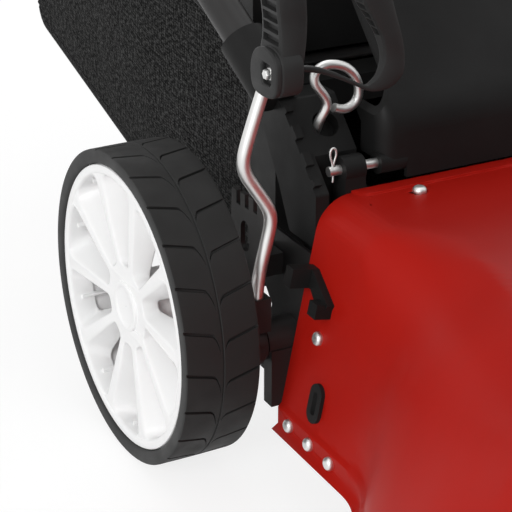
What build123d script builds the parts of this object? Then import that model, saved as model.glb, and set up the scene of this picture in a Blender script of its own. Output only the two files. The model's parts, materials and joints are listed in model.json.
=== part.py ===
from build123d import *
import math
import os

# Push lawn mower: X forward, Y to the left, Z up, ground at Z 0, lengths in millimetres.
# Every piece is laid out from the rear axle and moved to the centre of the whole length when saved.

# Wheels and track
rear_tyre_radius = 100.0
rear_tyre_width = 48.0
rear_track = 410.0
front_tyre_radius = 80.0
front_tyre_width = 42.0
front_wheel_offset = 1.0
wheelbase = 500.0
tyre_depth = 9.5
spoke_count = 10

# Height setting
crank_reach = 63.0
crank_drop = 9.0
shaft_radius = 8.0
stub_radius = 6.0
link_arm = 130.0
lever_rod_radius = 4.0

# Deck
deck_rear = 76.0
drum_x = 317.0
rear_half_width = 161.0
nose_half_width = 128.0
nose_overhang = 100.0
lip_bottom = 35.0
ledge_height = 52.0
ledge_width = 7.0
flare_height = 3.0
flare_width = 4.5
deck_top = 182.0
nose_top = 130.0
wall_lean = 11.4
sheet = 2.0

# Engine and blade
engine_height = 158.0
blade_length = 384.0
blade_height = 50.0
blade_tip_gap = 21.0

# Rear flap and grass bag
hinge_behind_deck = 7.0
hinge_above_deck = 13.0
hinge_rod_radius = 3.0
flap_half_width = 87.0
flap_length = 182.0
flap_angle = 45.0
collar_half_width = 116.0
collar_rear = -42.0
bag_half_width = 112.0
bag_rear = -432.0
bag_floor_rear = 152.5

# Handle
handle_tube_radius = 11.0
handle_slope = 36.0
handle_foot = (35.0, 133.0, 231.0)
fold_x = -348.0
lower_end_half_width = 182.0
handle_length = 750.0
foam_radius = 16.0
bail_length = 105.0

# Clearances
running_gap = 0.05
seat_gap = 0.1
plain_gap = 0.5
tube_gap = 2.0

# Positions worked out from the sizes above
drum_radius = blade_length / 2 + blade_tip_gap
nose_front = wheelbase + nose_overhang
rear_half = rear_track / 2
front_half = drum_radius + front_wheel_offset
rear_pivot_z = rear_tyre_radius - crank_drop
front_pivot_z = front_tyre_radius - crank_drop
front_pivot_x = wheelbase + crank_reach
wall_base = rear_half_width - ledge_width
slope_sin = math.sin(math.radians(handle_slope))
slope_cos = math.cos(math.radians(handle_slope))
fold_z = handle_foot[2] + (handle_foot[0] - fold_x) * math.tan(math.radians(handle_slope))
bar_x = fold_x - handle_length * slope_cos
bar_z = fold_z + handle_length * slope_sin
upper_half_width = lower_end_half_width + 2 * handle_tube_radius + tube_gap
centre_shift = (foam_radius - bar_x - nose_front) / 2
hinge_x = deck_rear - hinge_behind_deck
hinge_z = deck_top + hinge_above_deck

os.makedirs("parts", exist_ok=True)


def save(name, *pieces):
    """Write one node, moved to the shared frame."""
    moved = [Pos(centre_shift, 0, 0) * solid for piece in pieces for solid in piece.solids()]
    export_step(moved[0] if len(moved) == 1 else Compound(children=moved), "parts/" + name + ".step")


def both(piece):
    """A piece and its mirror image across the middle of the mower."""
    return [piece, mirror(piece, about=Plane.XZ)]


def across(radius, y_from, y_to, x, z):
    """A round bar along Y."""
    return Pos(x, (y_from + y_to) / 2, z) * Rot(90, 0, 0) * Cylinder(radius, abs(y_to - y_from))


def upright(radius, z_from, z_to, x, y):
    """A round bar along Z."""
    return Pos(x, y, (z_from + z_to) / 2) * Cylinder(radius, z_to - z_from)


def block(x_from, x_to, y_from, y_to, z_from, z_to):
    """A box between two corners."""
    middle = Pos((x_from + x_to) / 2, (y_from + y_to) / 2, (z_from + z_to) / 2)
    return middle * Box(abs(x_to - x_from), abs(y_to - y_from), abs(z_to - z_from))


def side_plate(points, y_from, y_to):
    """A flat plate drawn in X and Z, with its thickness along Y."""
    face = Plane.XZ * Polygon(*points, align=None)
    return Pos(0, y_to, 0) * extrude(face, amount=y_to - y_from, dir=(0, -1, 0))


def bent_rod(points, radius, bend, bore=0.0):
    """A round rod or tube with round bends between straight runs."""
    corners = [Vector(*point) for point in points]
    runs = []
    start = corners[0]
    for before, corner, after in zip(corners, corners[1:], corners[2:]):
        back = (before - corner).normalized()
        ahead = (after - corner).normalized()
        half = math.radians(back.get_angle(ahead) / 2)
        reach = bend / math.tan(half)
        inner = (back + ahead).normalized()
        middle = corner + inner * (bend / math.sin(half) - bend)
        runs.append(Line(start, corner + back * reach).edge())
        runs.append(ThreePointArc(corner + back * reach, middle, corner + ahead * reach).edge())
        start = corner + ahead * reach
    runs.append(Line(start, corners[-1]).edge())
    section = Circle(radius) - Circle(bore) if bore else Circle(radius)
    return sweep(Plane(origin=corners[0], z_dir=corners[1] - corners[0]) * section, path=Wire(runs))


def rounded(piece, axis, radius):
    """Round the edges of a piece that run along one axis."""
    return fillet(piece.edges().filter_by(axis), radius)


def dome_bolt(plane, radius, height):
    """A round headed bolt standing on a plane, with a short stem below it."""
    head = Pos(0, 0, height / 2) * Cylinder(radius, height)
    head = fillet(head.edges().group_by(Axis.Z)[-1], height * 0.7)
    stem = Pos(0, 0, -sheet) * Cylinder(radius * 0.5, 2 * sheet)
    return plane * (head + stem)


def bolt_hole(plane, radius):
    """The hole that a dome bolt's stem goes through."""
    return plane * (Pos(0, 0, -2 * sheet) * Cylinder(radius * 0.5 + running_gap, 6 * sheet))


# Deck shell
def deck_outline(inset):
    """The deck seen from above: a straight rear box running into the round blade housing."""
    box = Pos(drum_x / 2, 0) * Rectangle(drum_x, 2 * rear_half_width)
    plan = Circle(drum_radius)
    plan = Pos(drum_x, 0) * plan + box
    waist = plan.vertices().filter_by_position(Axis.X, deck_rear, drum_x)
    plan = fillet(waist, 45)
    return offset(plan, -inset, kind=Kind.INTERSECTION) if inset else plan


def nose_outline(inset):
    """The front of the deck seen from above."""
    length = nose_front - drum_x
    plan = Pos(drum_x + length / 2, 0) * Rectangle(length, 2 * nose_half_width)
    plan = fillet(plan.vertices().group_by(Axis.X)[-1], 45)
    return offset(plan, -inset, kind=Kind.INTERSECTION) if inset else plan


def deck_form(outline, top, ledge, inset, crown):
    """The solid outside or inside form of the deck: flared lip, upright strip, small step and leaning walls."""
    flare_angle = math.degrees(math.atan2(flare_width, flare_height))
    strip = outline(inset + flare_width)
    strip_bottom = lip_bottom + flare_height
    step = ledge_width - flare_width
    skirt = Pos(0, 0, lip_bottom) * extrude(outline(inset), amount=flare_height, taper=flare_angle)
    skirt += Pos(0, 0, strip_bottom) * extrude(strip, amount=ledge - step - strip_bottom)
    skirt += Pos(0, 0, ledge - step) * extrude(strip, amount=step, taper=45)
    walls = extrude(outline(inset + ledge_width), amount=top - ledge, taper=wall_lean)
    walls = fillet(walls.edges().group_by(Axis.Z)[-1], crown)
    return skirt + Pos(0, 0, ledge) * walls


crown = 24.0
inner_ledge = ledge_height - sheet
outer_form = deck_form(deck_outline, deck_top, ledge_height, 0, crown)
outer_form += deck_form(nose_outline, nose_top, ledge_height, 0, crown)
inner_form = deck_form(deck_outline, deck_top - sheet, inner_ledge, sheet, crown - sheet)
inner_form += deck_form(nose_outline, nose_top - sheet, inner_ledge, sheet, crown - sheet)
shell = outer_form - inner_form
shell &= block(deck_rear, nose_front, -drum_radius, drum_radius, lip_bottom, deck_top)

bead_front = deck_rear + 9
bead = block(deck_rear, bead_front, -wall_base + 46, wall_base - 46, deck_top - sheet / 2, deck_top + 1.5)
shell += bead

lean_cos = math.cos(math.radians(wall_lean))
lean_sin = math.sin(math.radians(wall_lean))


def wall_plane(x, z, depth=0.0):
    """A plane on the right deck wall, facing out; depth goes inward from the outer face."""
    rise = z - ledge_height
    y = -(wall_base - rise * math.tan(math.radians(wall_lean)))
    outward = (0, -lean_cos, lean_sin)
    return Plane(origin=(x, y + depth * lean_cos, z - depth * lean_sin), x_dir=(1, 0, 0), z_dir=outward)


def skirt_plane(x, z):
    """A plane on the upright strip at the foot of the right rear wall, facing out."""
    return Plane(origin=(x, flare_width - rear_half_width, z), x_dir=(1, 0, 0), z_dir=(0, -1, 0))


skirt_bolt_z = (lip_bottom + ledge_height) / 2
skirt_half_width = rear_half_width - flare_width
skirt_run = drum_x - math.sqrt(drum_radius ** 2 - skirt_half_width ** 2) - deck_rear
bolt_planes = [skirt_plane(deck_rear + skirt_run * share, skirt_bolt_z) for share in (0.155, 0.409, 0.663)]
bolt_planes.append(wall_plane(deck_rear + 26, 105))
top_bolt_plane = Plane(origin=(deck_rear + 17, -71, deck_top))
bolt_radius = 4.3
for plane in bolt_planes + [top_bolt_plane]:
    hole = bolt_hole(plane, bolt_radius)
    shell -= hole
    shell -= mirror(hole, about=Plane.XZ)

grommet_x = deck_rear + 38
grommet_plane = wall_plane(grommet_x, 69)
grommet_hole = grommet_plane * extrude(SlotOverall(20, 9, rotation=90), amount=6, both=True)
for hole in both(grommet_hole):
    shell -= hole
for y_side in (-nose_half_width, nose_half_width):
    shell -= across(shaft_radius + 2, y_side - 30, y_side + 30, front_pivot_x, front_pivot_z)
shell -= upright(22, deck_top - 20, deck_top + 20, drum_x, 0)
save("deck_shell", shell.solids().sort_by(SortBy.VOLUME)[-1])

save("deck_bolts", *[bolt for plane in bolt_planes + [top_bolt_plane]
                     for bolt in both(dome_bolt(plane, bolt_radius, 3.5))])

grommet = extrude(SlotOverall(25, 13, rotation=90), amount=2.5)
grommet += extrude(SlotOverall(20 - 2 * seat_gap, 9 - 2 * seat_gap, rotation=90), amount=-sheet)
grommet -= extrude(SlotOverall(15, 4.5, rotation=90), amount=8, both=True)
save("deck_grommets", *both(grommet_plane * grommet))

# Rear brackets inside the deck walls, with the bushes of the rear cross shaft
wall_thickness = sheet * (1 + math.tan(math.radians(wall_lean))) * lean_cos
bracket_plane = wall_plane(0, ledge_height, wall_thickness + seat_gap)
plate = Polygon((40, 8), (deck_rear + 52, 8), (deck_rear + 52, 74), (deck_rear, 96), (20, 96), (20, 64),
                (40, 50), align=None)
bracket = bracket_plane * extrude(plate, amount=-3)
bush_outer = rear_half_width + 1
bracket += across(deck_rear - crank_reach - plain_gap, -bush_outer, -132, crank_reach, rear_pivot_z)
sector_y = -157.0
bracket += block(22, 44, sector_y, -136, 122, 136)
bracket += block(crank_reach + 3, deck_rear - seat_gap, -bush_outer + 1, -140, lip_bottom + 15, rear_pivot_z - 3)
bracket -= across(shaft_radius + running_gap, -bush_outer - 5, -120, crank_reach, rear_pivot_z)
for plane in bolt_planes:
    bracket -= bolt_hole(plane, bolt_radius + 1)
bracket -= grommet_plane * extrude(SlotOverall(22, 11, rotation=90), amount=9, both=True)
bracket_right = bracket.solids().sort_by(SortBy.VOLUME)[-1]
save("rear_brackets", *both(bracket_right))

# Notched sector beside the lever
sector_thickness = 3.0
sector_outline = [(18, 118), (22, 176), (28, 176), (28, 168), (33, 168), (33, 177), (39, 177), (39, 169),
                  (44, 169), (44, 178), (50, 178), (50, 170), (55, 170), (55, 179), (61, 179), (66, 150), (52, 118)]
sector = side_plate(sector_outline, sector_y - sector_thickness, sector_y)
sector -= Pos(39, sector_y, 150) * Rot(90, 0, 0) * extrude(SlotOverall(20, 11, rotation=90), amount=9, both=True)
save("height_sector", sector)

# Cable hook on the right wall
hook_plane = wall_plane(deck_rear, 140)
hook_side = Polygon((4, -9), (4, 3), (12, 3), (35, -11), (31, -20), (24, -17), (14, -9), align=None)
hook = hook_plane * extrude(hook_side, amount=5, dir=(0, 0, 1))
hook += hook_plane * (Pos(8, -3, 9) * Box(8, 12, 18))
hook += hook_plane * (Pos(29, -15.5, 5.5) * Box(9, 9, 11))
save("cable_hook", hook)

# Chute between deck and bag, with the collar that the bag hangs on
chute_half = 94.0
chute_wall = 3.0
chute_floor = rear_pivot_z + shaft_radius + 13
collar_front = collar_rear + 38
collar_top = 224.0
collar_floor = 103.0
tunnel_side = [(collar_front, chute_floor), (deck_rear - seat_gap, chute_floor),
               (deck_rear - seat_gap, deck_top - 6), (collar_front, collar_top - 12)]
tunnel = side_plate(tunnel_side, -chute_half, chute_half)
tunnel -= side_plate([(collar_front - 1, chute_floor + chute_wall), (deck_rear, chute_floor + chute_wall),
                      (deck_rear, deck_top + 60), (collar_front - 1, collar_top + 60)],
                     chute_wall - chute_half, chute_half - chute_wall)
collar_side = [(collar_rear, collar_floor), (collar_front, collar_floor), (collar_front, collar_top),
               (collar_rear + 12, collar_top), (collar_rear, collar_top - 16)]
collar = side_plate(collar_side, -collar_half_width, collar_half_width)
collar -= block(collar_rear - 1, collar_front - chute_wall, chute_wall - collar_half_width,
                collar_half_width - chute_wall, collar_floor + chute_wall, collar_top - chute_wall)
collar -= block(collar_rear - 1, collar_front + 1, chute_wall - chute_half, chute_half - chute_wall,
                chute_floor + chute_wall, collar_top - 18)
save("chute", tunnel + collar)

# Handle shoulders with their slotted rail
shoulder_in = chute_half + seat_gap
shoulder_out = 132.0
shoulder_side = [(deck_rear - seat_gap, 150), (deck_rear - seat_gap, 184), (30, 229), (10, 229), (4, 214), (30, 176), (44, 150)]
shoulder = rounded(side_plate(shoulder_side, -shoulder_out, -shoulder_in), Axis.Y, 3)
rod_half = 120.0
shoulder -= block(hinge_x - 11, deck_rear, -rod_half - 3, -shoulder_in + 1, 140, hinge_z + 14)
rail_angle = 45.0
slope_length = 60.0
face_plane = Plane(origin=(52.5, -(shoulder_in + shoulder_out) / 2, 206.5), x_dir=(1, 0, -1), z_dir=(1, 0, 1))
rail_width = 5.0
rail_y = (shoulder_in - shoulder_out) / 2 + rail_width / 2
rail = Pos(0, rail_y, 1.5) * Box(slope_length - 6, rail_width, 5)
for step in (-18, 0, 18):
    rail -= Pos(step, rail_y, 2.5) * Box(9, rail_width + 1, 3)
shoulder += face_plane * rail
eye_hole_radius = 8.5
shoulder -= face_plane * (Pos(-12, 5, 0) * Cylinder(eye_hole_radius, 16))
eye_seat = face_plane.from_local_coords(Vector(-12, 5, -8))

# Lower handle tubes
foot = Vector(handle_foot[0], -handle_foot[1], handle_foot[2])
knee_x = fold_x + 60
knee = Vector(knee_x, -lower_end_half_width, fold_z - 60 * math.tan(math.radians(handle_slope)))
tube_end = Vector(fold_x - 30 * slope_cos, -lower_end_half_width, fold_z + 30 * slope_sin)
tube_line = (knee - foot).normalized()
tube_start = foot + tube_line * 8
tube_bore = handle_tube_radius - 1.5
lower_tube = bent_rod([tube_start, knee, tube_end], handle_tube_radius, 120, tube_bore)
clamp_radius = 4.0
lower_tube -= across(clamp_radius + running_gap, -lower_end_half_width - 20, -lower_end_half_width + 20,
                     fold_x, fold_z)
socket = Plane(origin=tube_start, z_dir=tube_line) * Pos(0, 0, 60)
shoulder += Plane(origin=tube_start, z_dir=tube_line) * (Pos(0, 0, 18) * Cylinder(handle_tube_radius + 4, 44))
shoulder -= socket * Cylinder(handle_tube_radius + running_gap, 120)
shoulder_right = shoulder.solids().sort_by(SortBy.VOLUME)[-1]
save("handle_shoulders", *both(shoulder_right))
save("lower_handles", *both(lower_tube))

# Rope guide eye on the right shoulder
wire = 3.5
eye_x = eye_seat.X + 10
eye_y = eye_seat.Y + 5
eye_z = eye_seat.Z + 29
eye_radius = 12.0
eye_points = [(eye_seat.X, eye_seat.Y, eye_seat.Z), (eye_seat.X + 8, eye_seat.Y, eye_seat.Z + 8),
              (eye_x, eye_seat.Y + 3, eye_seat.Z + 16), (eye_x, eye_y - eye_radius + 2, eye_z - 6)]
shank = bent_rod(eye_points, wire, 4)
ring = Pos(eye_x, eye_y, eye_z) * Rot(0, 90, 0) * Torus(eye_radius, wire)
ring -= block(eye_x - 9, eye_x + 9, eye_y - 8, eye_y + 1, eye_z - eye_radius - 6, eye_z - 4)
eye = shank + ring.solids().sort_by(SortBy.VOLUME)[-1]
save("rope_guide", eye.solids().sort_by(SortBy.VOLUME)[-1])

# Flap hinge
lug_in = 98.0
lug_out = 112.0
lug = block(hinge_x - 8, hinge_x + 7, -lug_out, -lug_in, deck_top - 18, hinge_z)
lug += across(8, -lug_out, -lug_in, hinge_x, hinge_z)
lug -= across(hinge_rod_radius + running_gap, -lug_out - 1, -lug_in + 1, hinge_x, hinge_z)
save("hinge_lugs", *both(lug))
rod = across(hinge_rod_radius, -rod_half, rod_half, hinge_x, hinge_z)
pin_y = -rod_half + 4
pin_hole = upright(1.0, hinge_z - 10, hinge_z + 10, hinge_x, pin_y)
for hole in both(pin_hole):
    rod -= hole
save("hinge_rod", rod)
pin_loop = Pos(hinge_x, pin_y, hinge_z + 8.5) * Rot(0, 90, 0) * Torus(2.2, 0.7)
pin = upright(0.95, hinge_z - 7, hinge_z + 6.8, hinge_x, pin_y) + pin_loop
save("split_pins", *both(pin))

# Front bearings under the nose
bearing_out = nose_half_width - 56
bearing_in = bearing_out - 12
bearing = block(front_pivot_x - 20, front_pivot_x - 6, -bearing_out, -bearing_in, front_pivot_z, nose_top - sheet)
bearing += across(13, -bearing_out, -bearing_in, front_pivot_x, front_pivot_z)
bearing -= across(shaft_radius + running_gap, -nose_half_width, 0, front_pivot_x, front_pivot_z)
save("front_bearings", *both(bearing))

# Engine
engine_top = deck_top + engine_height
case_top = deck_top + 93
crank_radius = 11.0
case = upright(80, deck_top, deck_top + 16, drum_x, 0) - upright(60, deck_top - 1, deck_top + 12, drum_x, 0)
case += rounded(block(drum_x - 66, drum_x + 56, -58, 58, deck_top + 12, case_top), Axis.Z, 18)
case -= upright(crank_radius + 0.4, deck_top - 5, case_top + 5, drum_x, 0)
oil_x = drum_x - 60
oil_y = -90.0
oil_tube = upright(10, deck_top + 20, deck_top + 76, oil_x, oil_y)
oil_tube += block(oil_x - 8, oil_x + 28, oil_y, -57, deck_top + 22, deck_top + 40)
case += oil_tube - upright(6.5, deck_top + 40, deck_top + 90, oil_x, oil_y)
save("engine_block", case)

fin_front = drum_x + 132
cylinder = block(drum_x + 56 + seat_gap, fin_front - 8, -34, 34, deck_top + 30, deck_top + 88)
for fin_index in range(8):
    fin_x = drum_x + 62 + fin_index * 8
    cylinder += block(fin_x, fin_x + 3, -46, 46, deck_top + 20, deck_top + 92)
head = rounded(block(fin_front - 9, fin_front + 6, -42, 42, deck_top + 24, deck_top + 92), Axis.X, 8)
save("cylinder", cylinder + head)

plug_z = deck_top + 58
plug = Pos(fin_front + 6 + seat_gap + 9, 0, plug_z) * Rot(0, 90, 0) * Cylinder(7, 18)
plug += Pos(fin_front + 9, 0, plug_z) * Rot(0, 90, 0) * extrude(RegularPolygon(10, 6), amount=7)
save("spark_plug", plug)
boot = Pos(fin_front + 31, 0, plug_z) * Rot(0, 90, 0) * Cylinder(10, 26)
boot = fillet(boot.edges(), 3)
boot -= Pos(fin_front + 15, 0, plug_z) * Rot(0, 90, 0) * Cylinder(7 + seat_gap, 20)
boot += block(fin_front + 30, fin_front + 42, -5, 5, plug_z + 8, plug_z + 18)
save("plug_boot", boot)

blower_radius = 92.0
blower_low = case_top + seat_gap
blower_high = engine_top - 20
blower = fillet(upright(blower_radius, blower_low, blower_high, drum_x, 0).edges().group_by(Axis.Z)[-1], 14)
blower += rounded(block(drum_x, fin_front + 4, -52, 52, blower_low, blower_high - 16), Axis.Z, 12)
blower_room = upright(blower_radius - 3, blower_low + 3, blower_high - 3, drum_x, 0)
blower -= fillet(blower_room.edges().group_by(Axis.Z)[-1], 11)
blower -= upright(30, blower_low - 1, blower_high, drum_x, 0)
blower -= block(drum_x + 40, fin_front + 1, -49, 49, blower_low + 3, blower_high - 19)
blower -= upright(56, blower_high - 10, blower_high + 10, drum_x, 0)
save("blower_housing", blower.solids().sort_by(SortBy.VOLUME)[-1])

recoil = fillet(upright(70, blower_high, engine_top, drum_x, 0).edges().group_by(Axis.Z)[-1], 8)
recoil -= upright(66, blower_high - 1, engine_top - 3, drum_x, 0)
slot = Pos(44, 0, 0) * extrude(SlotOverall(26, 7), amount=60)
for turn in range(0, 360, 30):
    recoil -= Pos(drum_x, 0, engine_top - 30) * Rot(0, 0, turn) * slot
grip_seat_z = blower_high + 9
recoil += block(drum_x - 84, drum_x - 64, -12, 12, blower_high, engine_top - 2)
recoil -= Pos(drum_x - 74, 0, grip_seat_z) * Rot(0, 90, 0) * Cylinder(2.6, 60)
save("recoil_cover", recoil)

tank = rounded(block(drum_x - 84, drum_x + 30, 64, 134, deck_top + 20, deck_top + 90), Axis.Z, 14)
tank = fillet(tank.edges().group_by(Axis.Z)[-1], 8)
cap_x = drum_x - 30
cap_y = 117.0
cap_z = deck_top + 90
tank += upright(12, cap_z - 2, cap_z + 8, cap_x, cap_y)
tank += block(drum_x - 60, drum_x - 30, 58 + seat_gap, 66, deck_top + 30, deck_top + 50)
save("fuel_tank", tank)

muffler = rounded(block(drum_x + 72, drum_x + 138, -104, -56, deck_top + 24, deck_top + 82), Axis.X, 10)
muffler += Pos(drum_x + 100, -51.1, deck_top + 52) * Rot(90, 0, 0) * Cylinder(10, 10)
save("muffler", muffler)
guard = block(drum_x + 66, drum_x + 144, -112, -110, deck_top + 20, deck_top + 88)
for row in range(4):
    for column in range(4):
        guard -= block(drum_x + 73 + column * 17, drum_x + 84 + column * 17, -120, -100,
                       deck_top + 28 + row * 14, deck_top + 35 + row * 14)
for corner_x in (drum_x + 80, drum_x + 130):
    guard += Pos(corner_x, -107.1, deck_top + 85) * Rot(90, 0, 0) * Cylinder(3, 6)
    guard += block(corner_x - 3, corner_x + 3, -110.1, -84, deck_top + 82 + seat_gap, deck_top + 88)
save("muffler_guard", guard)

carburettor = block(drum_x + 84, drum_x + 116, 46 + seat_gap, 66, deck_top + 38, deck_top + 74)
save("carburettor", rounded(carburettor, Axis.Y, 5))
filter_box = rounded(block(drum_x + 66, drum_x + 134, 66 + seat_gap, 108, deck_top + 26, deck_top + 86), Axis.Y, 12)
bulb_x = drum_x + 84
bulb_z = deck_top + 44
filter_box -= Pos(bulb_x, 108, bulb_z) * Rot(90, 0, 0) * Cylinder(10.5, 14)
save("air_filter_cover", filter_box)
bulb = Pos(bulb_x, 110, bulb_z) * Rot(90, 0, 0) * Cylinder(10, 12)
save("primer_bulb", fillet(bulb.edges().group_by(Axis.Y)[-1], 5))


def screw_cap(radius, height, x, y, z):
    """A round cap with a grip rib across its top."""
    cap = fillet(upright(radius, z, z + height, x, y).edges().group_by(Axis.Z)[-1], 2)
    return cap + block(x - radius * 0.8, x + radius * 0.8, y - 2.5, y + 2.5, z + height - 2, z + height + 5)


oil_cap = screw_cap(14, 10, oil_x, oil_y, deck_top + 76 + plain_gap)
save("oil_cap", oil_cap + upright(4, deck_top + 46, deck_top + 78, oil_x, oil_y))
fuel_cap = screw_cap(18, 16, cap_x, cap_y, cap_z + plain_gap)
save("fuel_cap", fuel_cap - upright(12.5, cap_z - 1, cap_z + 8 + plain_gap, cap_x, cap_y))

starter_x = drum_x - 85
starter_grip = rounded(block(starter_x - 14, starter_x, -30, 30, grip_seat_z - 7, grip_seat_z + 7), Axis.X, 5)
starter_grip += Pos(starter_x + 17, 0, grip_seat_z) * Rot(0, 90, 0) * Cylinder(2.2, 36)
save("starter_grip", starter_grip)

# Crankshaft and blade
crankshaft = upright(crank_radius, blade_height + 10, engine_top - 62, drum_x, 0)
crankshaft += upright(20, blade_height + 4, blade_height + 28, drum_x, 0)
save("crankshaft", crankshaft)
flywheel = upright(78, engine_top - 56, engine_top - 44, drum_x, 0) + upright(20, engine_top - 62, engine_top - 40, drum_x, 0)
for turn in range(0, 360, 30):
    fan = Pos(drum_x, 0, 0) * Rot(0, 0, turn) * block(46, 74, -1.5, 1.5, engine_top - 45, engine_top - 32)
    flywheel += fan
save("flywheel", flywheel)
blade_half = blade_length / 2
blade = Pos(drum_x, 0, blade_height) * rounded(Box(48, blade_length, 4), Axis.Z, 5)
for side in (1, -1):
    wing = Pos(-side * 17, side * (blade_half - 32), 8) * Rot(0, side * 32, 0) * Box(22, 60, 3.5)
    blade += Pos(drum_x, 0, blade_height) * wing
blade -= upright(7, blade_height - 10, blade_height + 10, drum_x, 0)
save("blade", blade)
blade_bolt = Pos(drum_x, 0, blade_height - 2 - 9) * extrude(RegularPolygon(10, 6), amount=7)
blade_bolt += upright(15, blade_height - 4, blade_height - 2, drum_x, 0)
blade_bolt += upright(6.9, blade_height - 4, blade_height + 4, drum_x, 0)
save("blade_bolt", blade_bolt)

# Rear flap: an upright apron behind the deck that turns into a plate leaning back over the bag
flap_front = deck_rear - plain_gap
flap_foot = deck_top + 2.5
flap_bend = flap_foot + 41.0
flap_depth = 25.0
flap_wall = 3.0
flap_round = 10.0
bend_round = 30.0
lean_back = math.radians(flap_angle)
flap_slope = flap_length - (flap_bend - flap_foot)


def flap_point(inset, along):
    """A point on the flap seen from the side, so far behind the front face and so far up from the bend."""
    bend_z = flap_bend - inset * math.tan(lean_back / 2)
    return (flap_front - inset - along * math.sin(lean_back), bend_z + along * math.cos(lean_back))


def behind_front(point):
    """How far a point lies behind the flap's front face, measured along X."""
    return flap_front - point.X - max(0, point.Z - flap_bend) * math.tan(lean_back)


def flap_form(half_width, inset, foot, along, round_edge, round_bend):
    """A solid as deep as the flap, with a rounded bend and rounded front edges."""
    outline = [(flap_front - inset, foot), flap_point(inset, 0), flap_point(inset, along),
               flap_point(flap_depth, along), flap_point(flap_depth, 0), (flap_front - flap_depth, foot)]
    form = side_plate(outline, -half_width, half_width)
    form = fillet(form.edges().filter_by(Axis.Y).sort_by(Axis.X)[-2:].sort_by(Axis.Z)[-1], round_bend)
    side_edges = [edge for edge in form.edges() if abs(edge.center().Y) > half_width - 0.1]
    return fillet([edge for edge in side_edges if behind_front(edge.center()) < inset + bend_round / 3], round_edge)


flap = flap_form(flap_half_width, 0, flap_foot, flap_slope, flap_round, bend_round)
flap -= flap_form(flap_half_width - flap_wall, flap_wall, flap_foot - 5, flap_slope + 5, flap_round - flap_wall,
                  bend_round - flap_wall)
grip_side = 75.5
knuckle_in = flap_half_width - 18
knuckle_top = hinge_z + 2
flap_top = flap_point(0, flap_slope)[1]
front_view = Polygon((-knuckle_in, flap_foot), (-knuckle_in, knuckle_top), (-flap_half_width, knuckle_top),
                     (-flap_half_width, flap_bend - 2), (-grip_side, flap_bend + 14), (-grip_side, flap_top),
                     (grip_side, flap_top), (grip_side, flap_bend + 14), (flap_half_width, flap_bend - 2),
                     (flap_half_width, knuckle_top), (knuckle_in, knuckle_top), (knuckle_in, flap_foot), align=None)
front_view = fillet(front_view.vertices().group_by(Axis.Y)[-1], 20)
flap &= Pos(-200, 0, 0) * extrude(Plane.YZ * front_view, amount=400, dir=(1, 0, 0))
for side in (1, -1):
    flap += across(7, side * knuckle_in, side * flap_half_width, hinge_x, hinge_z)
flap -= across(hinge_rod_radius + running_gap, -rod_half, rod_half, hinge_x, hinge_z)
save("rear_flap", flap.solids().sort_by(SortBy.VOLUME)[-1])

# Grass bag
bag_front = collar_rear - plain_gap
bag_bend_x = -200.0
bag_slope = 0.279
bag_bend_z = bag_floor_rear + (bag_rear - bag_bend_x) * bag_slope
bag_floor_front = 68.0
lid_front_low = 230.0
lid_rear_low = 322.0
lid_front_high = 296.0
lid_rear_high = 352.0
cloth = 2.0
bag_side = [(bag_front, bag_floor_front), (bag_front, lid_front_low), (bag_rear, lid_rear_low),
            (bag_rear, bag_floor_rear), (bag_bend_x, bag_bend_z)]
bag_room = [(bag_front + 9, bag_floor_front + cloth), (bag_front + 9, lid_front_low + 40),
            (bag_rear + cloth, lid_rear_low + 40), (bag_rear + cloth, bag_floor_rear + cloth),
            (bag_bend_x, bag_bend_z + cloth)]
bag = rounded(side_plate(bag_side, -bag_half_width, bag_half_width), Axis.Y, 6)
bag -= side_plate(bag_room, cloth - bag_half_width, bag_half_width - cloth)
save("bag_fabric", bag)
lid_side = [(bag_front, lid_front_low + plain_gap), (bag_front, lid_front_high), (bag_rear, lid_rear_high),
            (bag_rear, lid_rear_low + plain_gap)]
lid_room = [(bag_front - 3, lid_front_low - 60), (bag_front - 3, lid_front_high - 4),
            (bag_rear + 3, lid_rear_high - 3), (bag_rear + 3, lid_rear_low - 60)]
lid = side_plate(lid_side, -bag_half_width, bag_half_width)
lid -= side_plate(lid_room, 3 - bag_half_width, bag_half_width - 3)
carry_x = (bag_front + bag_rear) / 2
carry_z = (lid_front_high + lid_rear_high) / 2
carry = bent_rod([(carry_x + 60, 0, carry_z - 12), (carry_x + 60, 0, carry_z + 24),
                  (carry_x - 60, 0, carry_z + 40), (carry_x - 60, 0, carry_z + 5)], 8, 14)
lid += carry - side_plate(lid_room, -60, 60)
save("bag_lid", lid.solids().sort_by(SortBy.VOLUME)[-1])
frame_half = bag_half_width - cloth - 4 - running_gap
frame_x = bag_front - 8
frame_low = bag_floor_front + 16
frame_high = lid_front_low - 8
half_frame = bent_rod([(frame_x, 0, frame_low), (frame_x, -frame_half, frame_low), (frame_x, -frame_half, frame_high),
                       (frame_x, 0, frame_high)], 4, 16)
save("bag_frame", half_frame + mirror(half_frame, about=Plane.XZ))

# Rear crank with its cross shaft, arms and wheel stubs
arm_in = 166.0
arm_out = 172.0


def crank(half, pivot_x, pivot_z, plate_in, stub_out):
    """A cross shaft with one trailing arm and wheel stub on each side."""
    weldment = across(shaft_radius, -plate_in - 1, plate_in + 1, pivot_x, pivot_z)
    for side in (1, -1):
        plate_out = plate_in + arm_out - arm_in
        arm = Pos(pivot_x - crank_reach / 2, side * (plate_in + plate_out) / 2, pivot_z + crank_drop / 2)
        swing = math.degrees(math.atan2(crank_drop, crank_reach))
        flat = extrude(SlotCenterToCenter(math.hypot(crank_reach, crank_drop), 30), amount=3, both=True)
        weldment += arm * Rot(0, swing, 0) * Rot(90, 0, 0) * flat
        weldment += across(stub_radius, side * plate_in, side * stub_out, pivot_x - crank_reach, pivot_z + crank_drop)
        weldment += across(13, side * (plate_in - 3), side * plate_in, pivot_x, pivot_z)
    return weldment


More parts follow.
